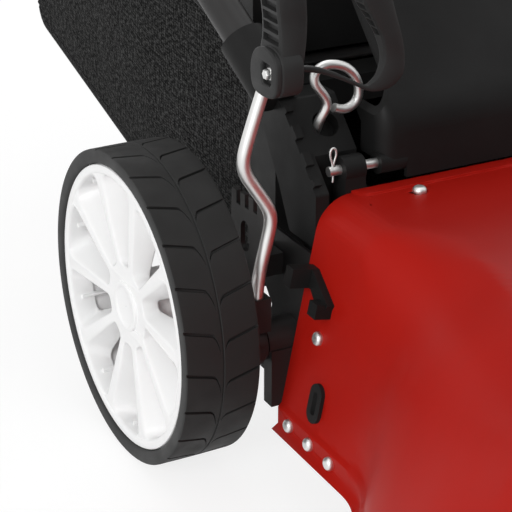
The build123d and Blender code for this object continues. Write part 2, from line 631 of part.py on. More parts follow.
def link_lever(pivot_x, pivot_z, plate_in):
    """The upright arm on the left that the height link works on."""
    outline = [(pivot_x - 12, pivot_z), (pivot_x + 12, pivot_z), (pivot_x + 8, pivot_z + link_arm + 8),
               (pivot_x - 8, pivot_z + link_arm + 8)]
    return rounded(side_plate(outline, plate_in, plate_in + arm_out - arm_in), Axis.Y, 5)


link_pin_radius = 4.0
link_y = arm_in - 6.0
rear_stub_out = rear_half + rear_tyre_width / 2 - 6
rear_crank = crank(rear_half, crank_reach, rear_pivot_z, arm_in, rear_stub_out)
rear_crank += link_lever(crank_reach, rear_pivot_z, arm_in)
rear_crank += across(link_pin_radius, link_y - 6, arm_in, crank_reach, rear_pivot_z + link_arm)
lever_foot = (crank_reach + 3, -167.0, rear_pivot_z + 14)
rear_crank += across(9, -arm_in, -arm_in + 2, crank_reach, rear_pivot_z)
socket_block = block(crank_reach - 6, crank_reach + 14, -arm_out - 2, -arm_in + 4, rear_pivot_z + 12, rear_pivot_z + 34)
rear_crank += socket_block

# Lever rod, with its two bends, and the loop grip on top of it
lever_x = 77.0
rod_top = (lever_x, -163.5, 268.0)
rod_points = [lever_foot, (lever_x, -171.0, 140.0), (lever_x, -161.0, 179.0), (lever_x, -180.0, 213.0), rod_top]
lever_rod = bent_rod(rod_points, lever_rod_radius, 9)
rear_crank -= bent_rod(rod_points, lever_rod_radius + running_gap, 9)
save("rear_crank", rear_crank.solids().sort_by(SortBy.VOLUME)[-1])
save("lever_rod", lever_rod)

front_arm_in = front_half - front_tyre_width / 2 - 13
front_stub_out = front_half + front_tyre_width / 2 - 6
front_crank = crank(front_half, front_pivot_x, front_pivot_z, front_arm_in, front_stub_out)
front_crank += link_lever(front_pivot_x, front_pivot_z, front_arm_in)
front_crank += across(link_pin_radius, link_y - 6, front_arm_in, front_pivot_x, front_pivot_z + link_arm)
save("front_crank", front_crank)

link_drop = rear_pivot_z - front_pivot_z
link_middle = Pos(crank_reach + wheelbase / 2, link_y, rear_pivot_z + link_arm - link_drop / 2)
link_turn = math.degrees(math.atan2(link_drop, wheelbase))
link_bar = extrude(SlotCenterToCenter(math.hypot(wheelbase, link_drop), 16), amount=2.5, both=True)
link = link_middle * Rot(0, link_turn, 0) * Rot(90, 0, 0) * link_bar
for end_x, end_z in ((crank_reach, rear_pivot_z), (front_pivot_x, front_pivot_z)):
    link -= across(link_pin_radius + running_gap, link_y - 9, link_y + 9, end_x, end_z + link_arm)
save("height_link", link)

grip_half = 10.0
grip_outer = [(-173, 250), (-175, 262), (-168, 278), (-166, 295), (-167, 317), (-158, 338), (-131, 346), (-102, 338),
              (-89, 317), (-86, 295), (-79, 276), (-77, 263), (-85, 252), (-100, 247), (-148, 267), (-153, 254)]
grip_inner = [(-149, 273), (-141, 285), (-140, 313), (-131, 327), (-113, 327), (-106, 311), (-107, 297),
              (-94, 279), (-91, 267), (-98, 255)]
grip_sketch = fillet(Polygon(*grip_outer, align=None).vertices(), 3) - fillet(Polygon(*grip_inner, align=None).vertices(), 3)
grip = Pos(lever_x - grip_half, 0, 0) * extrude(Plane.YZ * grip_sketch, amount=2 * grip_half, dir=(1, 0, 0))
grip = chamfer(grip.faces().sort_by(Axis.X)[-1].edges(), 1.5)
grip -= bent_rod(rod_points, lever_rod_radius + running_gap, 9)
grip_bolt_y = -163.5
grip_bolt_z = 267.0
grip_bolt_plane = Plane(origin=(lever_x + grip_half - 4, grip_bolt_y, grip_bolt_z), x_dir=(0, 1, 0), z_dir=(1, 0, 0))
grip -= grip_bolt_plane * Pos(0, 0, 3) * Box(11, 11, 6)
grip_bolt = grip_bolt_plane * (Pos(0, 0, 1.5) * Cylinder(4, 3))
save("grip_bolt", grip_bolt)
save("lever_grip", grip)


# Wheels
def wheel(name, x, half, side, radius, width, capped):
    """A tyre and a spoked rim, capped or with its cap moulded on; side is 1 for left and -1 for right."""
    rim_radius = radius - tyre_depth
    hub_radius = rim_radius * 0.25
    place = Pos(x, side * half, radius) * Rot(-90 * side, 0, 0)
    tyre = fillet(Cylinder(radius, width).edges(), 5) - Cylinder(rim_radius + running_gap, width + 2)
    save("tyre_" + name, place * tyre)
    face = width / 2
    inner_radius = rim_radius - 4
    rim = Cylinder(rim_radius, width - 4) - Cylinder(inner_radius, width)
    spoke = Polygon((hub_radius - 4, -3.2), (inner_radius + 2, -5), (inner_radius + 2, 5), (hub_radius - 4, 3.2),
                    align=None)
    spoke = Pos(0, 0, face - 18) * extrude(spoke, amount=12)
    rib = Pos(inner_radius - 2, 0, -4) * Box(8, 2, width - 14)
    for index in range(spoke_count):
        turn = 360 / spoke_count * index
        rim += Rot(0, 0, turn) * spoke
        rim += Rot(0, 0, turn + 180 / spoke_count) * rib
    hub_low = -face + 5
    rim += Pos(0, 0, (hub_low + face - 5) / 2) * Cylinder(hub_radius, face - 5 - hub_low)
    rim -= Cylinder(stub_radius + running_gap, width * 2)
    rim -= Pos(0, 0, face - 5) * Cylinder(hub_radius * 0.75, 4)
    cap = Pos(0, 0, face - 4) * Cylinder(hub_radius * 0.72, 5.6)
    cap = fillet(cap.edges().group_by(Axis.Z)[-1], 2)
    cap -= Pos(0, 0, face - 8) * Cylinder(stub_radius + 0.5, 6)
    if capped:
        save("rim_" + name, place * rim)
        save("hub_cap_" + name, place * cap)
    else:
        save("rim_" + name, place * (rim + Pos(0, 0, face - 3) * Cylinder(hub_radius * 0.9, 4)))


wheel("rear_right", 0, rear_half, -1, rear_tyre_radius, rear_tyre_width, True)
wheel("rear_left", 0, rear_half, 1, rear_tyre_radius, rear_tyre_width, True)
wheel("front_right", wheelbase, front_half, -1, front_tyre_radius, front_tyre_width, False)
wheel("front_left", wheelbase, front_half, 1, front_tyre_radius, front_tyre_width, False)

# Upper handle, its foam grip, bail and clamp knobs
upper_start = (fold_x + 26 * slope_cos, -upper_half_width, fold_z - 26 * slope_sin)
corner = (bar_x, -upper_half_width, bar_z)
upper = bent_rod([upper_start, corner, (bar_x, upper_half_width, bar_z),
                  (upper_start[0], upper_half_width, upper_start[2])], handle_tube_radius, 70, tube_bore)
for side in (1, -1):
    upper -= across(clamp_radius + running_gap, side * (upper_half_width - 20), side * (upper_half_width + 20),
                    fold_x, fold_z)
save("upper_handle", upper)
foam_half = 125.0
foam = across(foam_radius, -foam_half, foam_half, bar_x, bar_z)
foam = fillet(foam.edges(), 3) - across(handle_tube_radius + running_gap, -foam_half - 1, foam_half + 1, bar_x, bar_z)
save("foam_grip", foam)

spacer = across(11, -lower_end_half_width - handle_tube_radius - tube_gap + seat_gap,
                -lower_end_half_width - handle_tube_radius - seat_gap, fold_x, fold_z)
spacer -= across(clamp_radius + running_gap, -upper_half_width, 0, fold_x, fold_z)
save("fold_washers", *both(spacer))

knob_seat = upper_half_width + handle_tube_radius + plain_gap
knob = across(18, -knob_seat - 14, -knob_seat, fold_x, fold_z)
for turn in range(0, 360, 60):
    notch = Pos(fold_x, -knob_seat - 7, fold_z) * Rot(0, turn, 0) * Pos(20, 0, 0) * Rot(90, 0, 0) * Cylinder(5, 20)
    knob -= notch
knob += across(clamp_radius, -knob_seat - 2, -lower_end_half_width + 18, fold_x, fold_z)
save("clamp_knob_right", knob)
save("clamp_knob_left", mirror(knob, about=Plane.XZ))

bail_root = handle_length - bail_length
pivot_bail_x = fold_x - bail_root * slope_cos
pivot_bail_z = fold_z + bail_root * slope_sin
bail_open = math.radians(handle_slope + 41)
bail_wire = 4.0
bail_half = upper_half_width - handle_tube_radius - 10
bail_bar_x = pivot_bail_x - bail_length * math.cos(bail_open)
bail_bar_z = pivot_bail_z + bail_length * math.sin(bail_open)
bail = bent_rod([(pivot_bail_x, -bail_half, pivot_bail_z), (bail_bar_x, -bail_half, bail_bar_z),
                 (bail_bar_x, bail_half, bail_bar_z), (pivot_bail_x, bail_half, pivot_bail_z)], bail_wire, 26)
for side in (1, -1):
    bail += across(7, side * (bail_half - 4.5), side * (bail_half + 4.5), pivot_bail_x, pivot_bail_z)
    bail -= across(3 + running_gap, side * (bail_half - 8), side * (bail_half + 8), pivot_bail_x, pivot_bail_z)
save("brake_bail", bail)
bail_pin = across(3, -upper_half_width + handle_tube_radius - 0.9, -bail_half + 6, pivot_bail_x, pivot_bail_z)
bail_pin += across(6.5, -upper_half_width + handle_tube_radius - 0.9, -bail_half - 5, pivot_bail_x, pivot_bail_z)
bail_pin += across(5, -bail_half + 5.2, -bail_half + 7, pivot_bail_x, pivot_bail_z)
bail_pin -= bent_rod([upper_start, corner], handle_tube_radius + running_gap, 5)
save("bail_pins", *both(bail_pin.solids().sort_by(SortBy.VOLUME)[-1]))
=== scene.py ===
import json
import math

import bmesh
import bpy
import numpy
from mathutils import Matrix, Vector


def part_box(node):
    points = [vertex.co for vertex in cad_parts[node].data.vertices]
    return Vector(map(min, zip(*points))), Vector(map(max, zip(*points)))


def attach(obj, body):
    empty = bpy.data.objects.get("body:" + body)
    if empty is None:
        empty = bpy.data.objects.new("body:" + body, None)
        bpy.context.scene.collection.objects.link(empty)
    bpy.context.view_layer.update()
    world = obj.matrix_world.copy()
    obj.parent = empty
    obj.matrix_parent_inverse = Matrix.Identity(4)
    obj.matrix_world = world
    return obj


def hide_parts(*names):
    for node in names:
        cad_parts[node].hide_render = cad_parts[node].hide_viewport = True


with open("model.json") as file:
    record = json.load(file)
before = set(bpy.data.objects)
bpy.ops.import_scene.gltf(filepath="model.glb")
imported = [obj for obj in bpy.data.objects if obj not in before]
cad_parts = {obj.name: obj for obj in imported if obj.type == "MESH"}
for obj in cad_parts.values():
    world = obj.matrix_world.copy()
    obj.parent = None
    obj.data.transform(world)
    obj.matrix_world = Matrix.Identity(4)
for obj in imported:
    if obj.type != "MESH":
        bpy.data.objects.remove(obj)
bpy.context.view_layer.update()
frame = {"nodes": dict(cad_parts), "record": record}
nodes = frame["nodes"]
scene = bpy.context.scene
millimetre = 0.001

# Camera at the photograph's viewing angle: right of the mower, ahead of its rear axle, looking back and down
camera_azimuth = math.radians(62.374)
camera_elevation = math.radians(24.688)
camera_place = Vector((1.06112, -0.59031, 0.56925))
sensor_width = 36.0
focal_pixels = 1700.0
frame_pixels = 512.0

camera_back = Vector((
    math.sin(camera_azimuth) * math.cos(camera_elevation),
    -math.cos(camera_azimuth) * math.cos(camera_elevation),
    math.sin(camera_elevation),
))
camera_data = bpy.data.cameras.new("camera")
camera_data.sensor_width = sensor_width
camera_data.sensor_fit = "HORIZONTAL"
camera_data.lens = focal_pixels / frame_pixels * sensor_width
camera = bpy.data.objects.new("camera", camera_data)
camera.location = camera_place
camera.rotation_mode = "QUATERNION"
camera.rotation_quaternion = (-camera_back).to_track_quat("-Z", "Y")
scene.collection.objects.link(camera)
scene.camera = camera
scene.view_settings.view_transform = "Standard"


# Node helpers
white = (1, 1, 1, 1)


def grey(value):
    return (value, value, value)


def add_node(tree, kind, inputs=None, **settings):
    """Add a node to a tree; an input that is another node's output is linked, and any other is set."""
    node = tree.nodes.new(kind)
    for key, value in settings.items():
        setattr(node, key, value)
    for key, value in (inputs or {}).items():
        if isinstance(value, bpy.types.NodeSocket):
            tree.links.new(value, node.inputs[key])
        else:
            node.inputs[key].default_value = value
    return node


def calculate(tree, operation, *values):
    return add_node(tree, "ShaderNodeMath", dict(enumerate(values)), operation=operation).outputs[0]


def seen_rays(tree):
    """One for a ray from the camera, a mirror or glass, and nought for one that only carries light."""
    rays = add_node(tree, "ShaderNodeLightPath").outputs
    seen = calculate(tree, "MAXIMUM", rays["Is Camera Ray"], rays["Is Glossy Ray"])
    return calculate(tree, "MAXIMUM", seen, rays["Is Transmission Ray"])


def mix(tree, share, first, second):
    shaders = {0: share, 1: first.outputs[0], 2: second.outputs[0]}
    return add_node(tree, "ShaderNodeMixShader", shaders).outputs[0]


# Studio: pale floor, white surroundings and soft lamps
side_light = 0.98
overhead_light = 0.30
floor_glow = 0.80
floor_grey = 0.26
floor_bounce = 0.72
floor_reach = 30.0
floor_gap = 0.0005

world = bpy.data.worlds.new("studio")
scene.world = world
world.use_nodes = True
world_tree = world.node_tree
world_tree.nodes.clear()
sky_place = add_node(world_tree, "ShaderNodeTexCoord").outputs["Generated"]
sky_height = add_node(world_tree, "ShaderNodeSeparateXYZ", {"Vector": sky_place}).outputs["Z"]
sky_limits = {"Value": sky_height, "To Min": side_light, "To Max": overhead_light}
sky_fade = add_node(world_tree, "ShaderNodeMapRange", sky_limits).outputs["Result"]
soft_light = add_node(world_tree, "ShaderNodeBackground", {"Color": white, "Strength": sky_fade})
white_back = add_node(world_tree, "ShaderNodeBackground", {"Color": white, "Strength": 1.0})
world_mix = mix(world_tree, seen_rays(world_tree), soft_light, white_back)
add_node(world_tree, "ShaderNodeOutputWorld", {"Surface": world_mix})

floor_material = bpy.data.materials.new("pale_floor")
floor_material.use_nodes = True
floor_tree = floor_material.node_tree
floor_tree.nodes.clear()
floor_pale = add_node(floor_tree, "ShaderNodeBsdfDiffuse", {"Color": grey(floor_bounce) + (1,)})
floor_shade = add_node(floor_tree, "ShaderNodeBsdfDiffuse", {"Color": grey(floor_grey) + (1,)})
floor_white = add_node(floor_tree, "ShaderNodeEmission", {"Color": white, "Strength": floor_glow})
floor_layers = {0: floor_shade.outputs[0], 1: floor_white.outputs[0]}
floor_sum = add_node(floor_tree, "ShaderNodeAddShader", floor_layers)
floor_mix = mix(floor_tree, seen_rays(floor_tree), floor_pale, floor_sum)
add_node(floor_tree, "ShaderNodeOutputMaterial", {"Surface": floor_mix})

floor_mesh = bpy.data.meshes.new("floor")
floor_corners = [(x * floor_reach, y * floor_reach, 0) for x, y in ((-1, -1), (1, -1), (1, 1), (-1, 1))]
floor_mesh.from_pydata(floor_corners, [], [(0, 1, 2, 3)])
floor_mesh.materials.append(floor_material)
floor = bpy.data.objects.new("floor", floor_mesh)
floor.location.z = -floor_gap
scene.collection.objects.link(floor)


def lamp(name, place, target, size, power):
    data = bpy.data.lights.new(name, "AREA")
    data.shape = "DISK"
    data.size = size
    data.energy = power
    made = bpy.data.objects.new(name, data)
    made.location = place
    aim = Vector(target) - Vector(place)
    made.rotation_mode = "QUATERNION"
    made.rotation_quaternion = aim.to_track_quat("-Z", "Y")
    scene.collection.objects.link(made)


lamp("key_lamp", place=(2.0, -2.6, 1.7), target=(0.2, -0.1, 0.2), size=1.6, power=46)
lamp("top_lamp", place=(-0.3, 0.2, 3.2), target=(0.1, 0.0, 0.2), size=2.4, power=12)
lamp("back_lamp", place=(-2.6, 1.6, 1.8), target=(0.0, 0.0, 0.4), size=1.6, power=20)


# Materials
noise_low = 0.3
noise_high = 0.7
gloss_ratio = 3.1


def start_material(name):
    made = bpy.data.materials.new(name)
    made.use_nodes = True
    tree = made.node_tree
    coords = add_node(tree, "ShaderNodeTexCoord")
    return made, tree, tree.nodes["Principled BSDF"], coords.outputs["Object"]


def noise(tree, coords, scale, detail, stretch=None):
    if stretch:
        coords = add_node(tree, "ShaderNodeMapping", {"Vector": coords, "Scale": stretch}).outputs["Vector"]
    inputs = {"Vector": coords, "Scale": scale, "Detail": detail}
    return add_node(tree, "ShaderNodeTexNoise", inputs).outputs["Fac"]


def mottle(tree, shader, source, dark, light, low=noise_low, high=noise_high):
    """Colour that drifts between two tones."""
    ramp = add_node(tree, "ShaderNodeValToRGB", {"Fac": source})
    for element, position, colour in zip(ramp.color_ramp.elements, (low, high), (dark, light)):
        element.position = position
        element.color = colour + (1,)
    tree.links.new(ramp.outputs["Color"], shader.inputs["Base Color"])


def uneven_gloss(tree, shader, source, smooth, rough):
    limits = {"From Min": noise_low, "From Max": noise_high, "To Min": smooth, "To Max": rough}
    spread = add_node(tree, "ShaderNodeMapRange", {"Value": source, **limits})
    tree.links.new(spread.outputs["Result"], shader.inputs["Roughness"])


def relief(tree, shader, source, depth, strength=1.0):
    bump = add_node(tree, "ShaderNodeBump", {"Height": source, "Strength": strength, "Distance": depth})
    tree.links.new(bump.outputs["Normal"], shader.inputs["Normal"])


def surface(name, dark, light, smooth, rough, metallic=0.0, specular=0.5, coat=0.0, coat_rough=0.1,
            drift=18.0, grain=900.0, depth=0.00004):
    """A solid finish: slow drift in tone, uneven gloss and a fine grain in relief."""
    made, tree, shader, coords = start_material(name)
    mottle(tree, shader, noise(tree, coords, drift, detail=4.0), dark, light)
    uneven_gloss(tree, shader, noise(tree, coords, drift * gloss_ratio, detail=5.0), smooth, rough)
    relief(tree, shader, noise(tree, coords, grain, detail=2.0), depth)
    shader.inputs["Metallic"].default_value = metallic
    shader.inputs["Specular IOR Level"].default_value = specular
    shader.inputs["Coat Weight"].default_value = coat
    shader.inputs["Coat Roughness"].default_value = coat_rough
    return made


# Bag cloth: crossed threads and the wear that breaks them up, both laid out on the sewn panels
thread_scale = 150.0
thread_ratio = 0.62
thread_waver = 5.0
thread_weight = 0.35
wear_scale = 430.0
wear_stretch = (1.0, 0.6, 1.0)
wear_weight = 1.45
wear_offset = -0.45
cloth_dark = grey(0.0020)
cloth_light = (0.0620, 0.0620, 0.0610)
cloth_tones = (0.22, 0.80)
cloth_relief = 0.00035


def woven_cloth(name):
    """Coarse black cloth: two sets of wavering threads that cross, darkened and lightened by wear."""
    made, tree, shader, coords = start_material(name)
    sewn = add_node(tree, "ShaderNodeUVMap", uv_map="cloth").outputs["UV"]
    threads = []
    for direction, scale in (("X", thread_scale), ("Y", thread_scale * thread_ratio)):
        wave = {
            "Vector": sewn, "Scale": scale, "Distortion": thread_waver, "Detail": 2.0, "Detail Scale": 1.3,
        }
        threads.append(add_node(tree, "ShaderNodeTexWave", wave, bands_direction=direction).outputs["Fac"])
    crossed = calculate(tree, "MULTIPLY", *threads)
    softened = calculate(tree, "MULTIPLY_ADD", crossed, thread_weight, wear_offset)
    wear = noise(tree, sewn, wear_scale, detail=1.0, stretch=wear_stretch)
    worn = calculate(tree, "MULTIPLY_ADD", wear, wear_weight, softened)
    mottle(tree, shader, worn, cloth_dark, cloth_light, *cloth_tones)
    uneven_gloss(tree, shader, noise(tree, coords, scale=60.0, detail=3.0), smooth=0.72, rough=0.9)
    relief(tree, shader, crossed, cloth_relief, strength=0.9)
    shader.inputs["Specular IOR Level"].default_value = 0.06
    shader.inputs["Sheen Weight"].default_value = 0.02
    shader.inputs["Sheen Roughness"].default_value = 0.4
    return made


# Tyre rubber: a painted highlight, paler colour where a face looks sideways, broken up by noise
tread_dark = (0.0175, 0.0172, 0.017)
# Painted highlight: the paler tone given to the side walls
wall_highlight = grey(0.040)
highlight_drift = 0.22
highlight_tones = (0.7, 1.0)


def rubber(name):
    """Tyre rubber: dark on the tread, with a painted highlight of paler colour on the flat side walls."""
    made, tree, shader, coords = start_material(name)
    facing = add_node(tree, "ShaderNodeTexCoord").outputs["Normal"]
    parts = add_node(tree, "ShaderNodeSeparateXYZ", {"Vector": facing})
    sideways = calculate(tree, "ABSOLUTE", parts.outputs["Y"])
    patches = noise(tree, coords, scale=30.0, detail=5.0)
    drifted = calculate(tree, "MULTIPLY_ADD", patches, highlight_drift, sideways)
    # Painted highlight: the colour turns paler as the face turns sideways
    mottle(tree, shader, drifted, tread_dark, wall_highlight, *highlight_tones)
    uneven_gloss(tree, shader, noise(tree, coords, scale=55.0, detail=5.0), smooth=0.55, rough=0.74)
    relief(tree, shader, noise(tree, coords, scale=1500.0, detail=2.0), depth=0.00004)
    shader.inputs["Specular IOR Level"].default_value = 0.24
    return made


# Each finish: its darkest and lightest tone, its smoothest and roughest gloss, and what sets it apart
materials = {
    "red_paint": surface("red_enamel", (0.385, 0.0080, 0.0040), (0.425, 0.0105, 0.0058), 0.42, 0.50,
        specular=0.09, coat=0.02, coat_rough=0.30, drift=7.0, grain=160.0, depth=0.000006),
    "black_paint": surface("black_enamel", (0.018, 0.017, 0.017), (0.026, 0.025, 0.025), 0.34, 0.46,
        specular=0.30, grain=500.0, depth=0.00001),
    "black_plastic": surface("black_moulding", grey(0.0095), grey(0.0140), 0.42, 0.56, specular=0.13,
        grain=1300.0, depth=0.00003),
    "grip_plastic": surface("grip_moulding", grey(0.019), grey(0.027), 0.46, 0.60, specular=0.22,
        grain=1300.0, depth=0.00003),
    "engine_plastic": surface("engine_moulding", (0.016, 0.016, 0.018), (0.026, 0.026, 0.028), 0.30, 0.44,
        specular=0.35, grain=1100.0, depth=0.00003),
    "bright_steel": surface("bright_steel", (0.70, 0.70, 0.69), (0.80, 0.80, 0.79), 0.36, 0.46,
        metallic=1.0, grain=1500.0, depth=0.00001),
    "cast_alloy": surface("cast_alloy", (0.34, 0.34, 0.35), (0.46, 0.46, 0.47), 0.45, 0.62,
        metallic=0.85, grain=600.0, depth=0.00012),
    "tyre_rubber": rubber("tyre_rubber"),
    "soft_rubber": surface("soft_rubber", grey(0.008), grey(0.014), 0.55, 0.70, specular=0.22, grain=1400.0),
    "white_plastic": surface("white_moulding", grey(0.945), grey(0.965), 0.30, 0.40, specular=0.40,
        grain=300.0, depth=0.000006),
    "bag_cloth": woven_cloth("bag_cloth"),
    "foam": surface("foam", grey(0.012), grey(0.024), 0.85, 0.95, specular=0.15, drift=300.0, depth=0.0004),
    "tank_plastic": surface("tank_moulding", (0.040, 0.040, 0.042), (0.060, 0.060, 0.062), 0.42, 0.55,
        grain=1200.0, depth=0.00005),
    "heat_steel": surface("heat_steel", (0.07, 0.06, 0.055), (0.17, 0.15, 0.13), 0.50, 0.72, metallic=0.7,
        grain=500.0, depth=0.0001),
    "blade_steel": surface("blade_steel", grey(0.05), grey(0.10), 0.40, 0.60, metallic=0.6,
        grain=500.0, depth=0.0001),
    "red_rubber": surface("red_rubber", (0.34, 0.015, 0.010), (0.42, 0.022, 0.015), 0.50, 0.65, specular=0.3,
        grain=1000.0),
}

for part in frame["record"]["subparts"]:
    mesh = nodes[part["node"]].data
    mesh.materials.clear()
    mesh.materials.append(materials[part["material_slot"]])


# Mesh helpers
weld_distance = 0.00002


def middle_and_half(node):
    """Centre of a CAD node's box, and half its size."""
    low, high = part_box(node)
    return (low + high) / 2, (high - low) / 2


def make_piece(name, mesh, slot, body, replaced):
    """Put a mesh in the scene, in a slot's material, riding on a body and standing for CAD nodes."""
    mesh.materials.append(materials[slot])
    made = bpy.data.objects.new(name, mesh)
    scene.collection.objects.link(made)
    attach(made, body)
    if replaced:
        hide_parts(*replaced)
    return made


def smooth_mesh(mesh, sharp_degrees):
    """Shade a mesh smooth, except across folds that are sharper than an angle."""
    shape = bmesh.new()
    shape.from_mesh(mesh)
    bmesh.ops.recalc_face_normals(shape, faces=shape.faces)
    shape.to_mesh(mesh)
    shape.free()
    mesh.polygons.foreach_set("use_smooth", [True] * len(mesh.polygons))
    mesh.set_sharp_from_angle(angle=math.radians(sharp_degrees))


def finished_mesh(name, shape, sharp_degrees):
    """The smooth mesh of a bmesh that is done with."""
    mesh = bpy.data.meshes.new(name)
    shape.to_mesh(mesh)
    shape.free()
    smooth_mesh(mesh, sharp_degrees)
    return mesh


def grid_mesh(name, rows, sharp_degrees, close_rows=False, close_columns=False):
    """A mesh of quads between rows of points, smooth except across sharp folds."""
    count = len(rows[0])
    points = [point for row in rows for point in row]
    faces = []
    for row in range(len(rows) if close_rows else len(rows) - 1):
        here = row * count
        below = (row + 1) % len(rows) * count
        for column in range(count if close_columns else count - 1):
            beside = (column + 1) % count
            faces.append((here + column, here + beside, below + beside, below + column))
    mesh = bpy.data.meshes.new(name)
    mesh.from_pydata(points, [], faces)
    smooth_mesh(mesh, sharp_degrees)
    return mesh


def curve_mesh(name, curve):
    """The mesh of a curve that is done with."""
    holder = bpy.data.objects.new(name, curve)
    mesh = bpy.data.meshes.new_from_object(holder)
    bpy.data.objects.remove(holder)
    bpy.data.curves.remove(curve)
    return mesh


def join_rings(shape, rings):
    """Add quads to a bmesh between closed rings of vertices that follow each other."""
    for ring, following in zip(rings, rings[1:]):
        for step in range(len(ring)):
            beside = (step + 1) % len(ring)
            shape.faces.new((ring[step], ring[beside], following[beside], following[step]))


def turned_piece(shape, centre, axis, profile, steps, twist=0.0):
    """Add a closed turned form to a bmesh: rows of (radius, rise) about an axis."""
    aside = axis.orthogonal().normalized()
    other = axis.cross(aside)
    rings = []
    for radius, rise in profile:
        ring = []
        for step in range(steps):
            angle = 2 * math.pi * step / steps + twist
            around = aside * math.cos(angle) + other * math.sin(angle)
            ring.append(shape.verts.new(centre + axis * rise + around * radius))
        rings.append(ring)
    join_rings(shape, rings)
    shape.faces.new(reversed(rings[0]))
    shape.faces.new(rings[-1])


# Tyres with two rows of tread blocks, drawn in millimetres for the rear wheel and fitted to each wheel
# Section: distance across the tread from its outer face, and height above the rim's seat
tread_width = 48.0
tread_height = 9.5
tread_face = 9.0
tread_middle = tread_width / 2
tyre_section = [
    (3.2, 0.12), (1.6, 0.20), (0.5, 1.2), (0.0, 3.0), (0.0, 7.4), (0.15, 8.6), (0.7, 9.2), (2.0, 9.34),
    (6, 9.35), (9, 9.4), (12, 9.44), (15, 9.46), (17, 9.47), (18.5, 9.48), (19.8, 9.49), (20.8, 9.5),
    (21.7, 9.5), (22.6, 9.5), (23.3, 9.5), (23.6, 8.7), (24.4, 8.7), (24.7, 9.5), (25.4, 9.5), (26.3, 9.5),
    (27.2, 9.5), (28.2, 9.49), (30, 9.48), (33, 9.46), (36, 9.44), (39, 9.4), (42, 9.36), (46.0, 9.34),
    (47.3, 9.2), (47.85, 8.6), (48.0, 7.4), (48.0, 3.0), (47.5, 1.2), (46.4, 0.20), (44.8, 0.12),
]
rear_blocks = 24
front_blocks = 20
block_pitch = 26.18
groove_lip = 1.05
groove_floor = 0.7
block_steps = (-groove_lip, -groove_floor, groove_floor, groove_lip, 2.2, 5.0, 8.6, 12.4, 16.2, 20.0, 23.6)
groove_depth = 1.7
outer_slant = 0.28
inner_slant = 0.26
outer_hook = 17.5
inner_hook = 28.5
hook_bend = 0.42
row_offset = 11.0
crown_start = 22.2
crown_stop = 25.8
groove_fade = 1.6


def groove_shift(across):
    """How far along the tread a groove lies at a place across it: a slant that hooks near the middle."""
    if across < tread_middle:
        return outer_slant * across + hook_bend * max(0.0, across - outer_hook) ** 2
    hook = hook_bend * max(0.0, inner_hook - across) ** 2
    return -inner_slant * (across - tread_middle) + hook + row_offset


def groove_share(across):
    """How deep a groove is at a place across the tread, from nought to one."""
    if crown_start < across < crown_stop:
        return 0.0
    edge = min(across, tread_width - across)
    return min(1.0, max(0.0, edge / groove_fade))


def tyre(corner, block_count):
    name = "tread_" + corner
    node = "tyre_" + corner
    centre, half = middle_and_half(node)
    radius = half.z
    width = 2 * half.y
    seat = middle_and_half("rim_" + corner)[1].z
    depth = (radius - seat) / tread_height
    outward = 1.0 if centre.y > 0 else -1.0
    pitch = 2 * math.pi * radius / millimetre / block_count
    stretch = pitch / block_pitch
    rows = []
    for across, height in tyre_section:
        share = groove_share(across) if height > tread_face else 0.0
        row = []
        for block in range(block_count):
            for step in block_steps:
                cut = groove_depth * share if abs(step) < groove_lip else 0.0
                along = step * stretch if step > groove_lip else step
                turn = (block * pitch + along + groove_shift(across)) * millimetre / radius
                reach = seat + (height - cut) * depth
                row.append((
                    centre.x + reach * math.sin(turn),
                    centre.y + outward * width * (0.5 - across / tread_width),
                    centre.z + reach * math.cos(turn),
                ))
        rows.append(row)
    mesh = grid_mesh(name, rows, sharp_degrees=38.0, close_rows=True, close_columns=True)
    make_piece(name, mesh, "tyre_rubber", "wheel_" + corner, [node])


for end, block_count in (("rear", rear_blocks), ("front", front_blocks)):
    for side in ("right", "left"):
        tyre(end + "_" + side, block_count)


# Rims with ten flared spokes that dish in to the hub, drawn in millimetres for the rear wheel
# Profiles: radius, and depth behind the tyre's outer face
drawn_radius = 90.5
spoke_count = 10
spoke_turn = math.radians(1.5)
sector = 2 * math.pi / spoke_count
flank_spread = 0.48
spoke_start = 20.0
spoke_length = 60.0
hub_depth = 6.8
dish = 4.9
dish_bend = 0.8
hub_thickness = 10.5
ring_thickening = 5.0
plate_edge = 88.0
plate_bore = 10.0
plate_half = 7.0
plate_round = 1.3
plate_margin = 1.0
edge_steps = 120
bore_steps = 40
hub_steps = 64
ring_steps = 6
foot_steps = 5
inward_shares = (0.3, 0.45, 0.6, 0.75)
outward_shares = (0.25, 0.4, 0.55, 0.7)
rib_ends = (7.5, 42.0)
rib_outline = [(87.4, -1.6), (81.6, -1.0), (81.0, -0.5), (81.0, 0.5), (81.6, 1.0), (87.4, 1.6)]
ring_profile = [
    (84.2, 3.4), (84.3, 2.2), (84.9, 1.4), (86.0, 1.0), (88.8, 1.0), (89.8, 1.3), (90.3, 2.2), (90.3, 45.8),
    (89.6, 46.8), (88.0, 47.0), (86.6, 46.4), (86.4, 45.0), (86.4, 9.0), (85.2, 5.6),
]
hub_profile = [
    (6.4, 6.4), (17.6, 6.4), (18.8, 6.7), (19.5, 7.6), (20.6, 18.0), (20.6, 40.0), (19.8, 41.0), (6.4, 41.0),
]
cap_profile = [
    (0.3, 5.9), (11.6, 5.8), (12.6, 5.4), (13.2, 4.7), (14.0, 4.4), (15.4, 4.4), (16.0, 4.8), (16.2, 5.6),
    (16.2, 7.2), (0.3, 7.2),
]


def bend_points(start, corner, end, steps):
    """Points on a soft bend from start to end, pulled towards the corner."""
    points = []
    for step in range(steps + 1):
        share = step / steps
        points.append(start.lerp(corner, share).lerp(corner.lerp(end, share), share))
    return points


def ring_point(radius, turn):
    return Vector((radius * math.cos(turn), radius * math.sin(turn)))


def ring_points(radius, steps):
    return [ring_point(radius, 2 * math.pi * step / steps) for step in range(steps)]


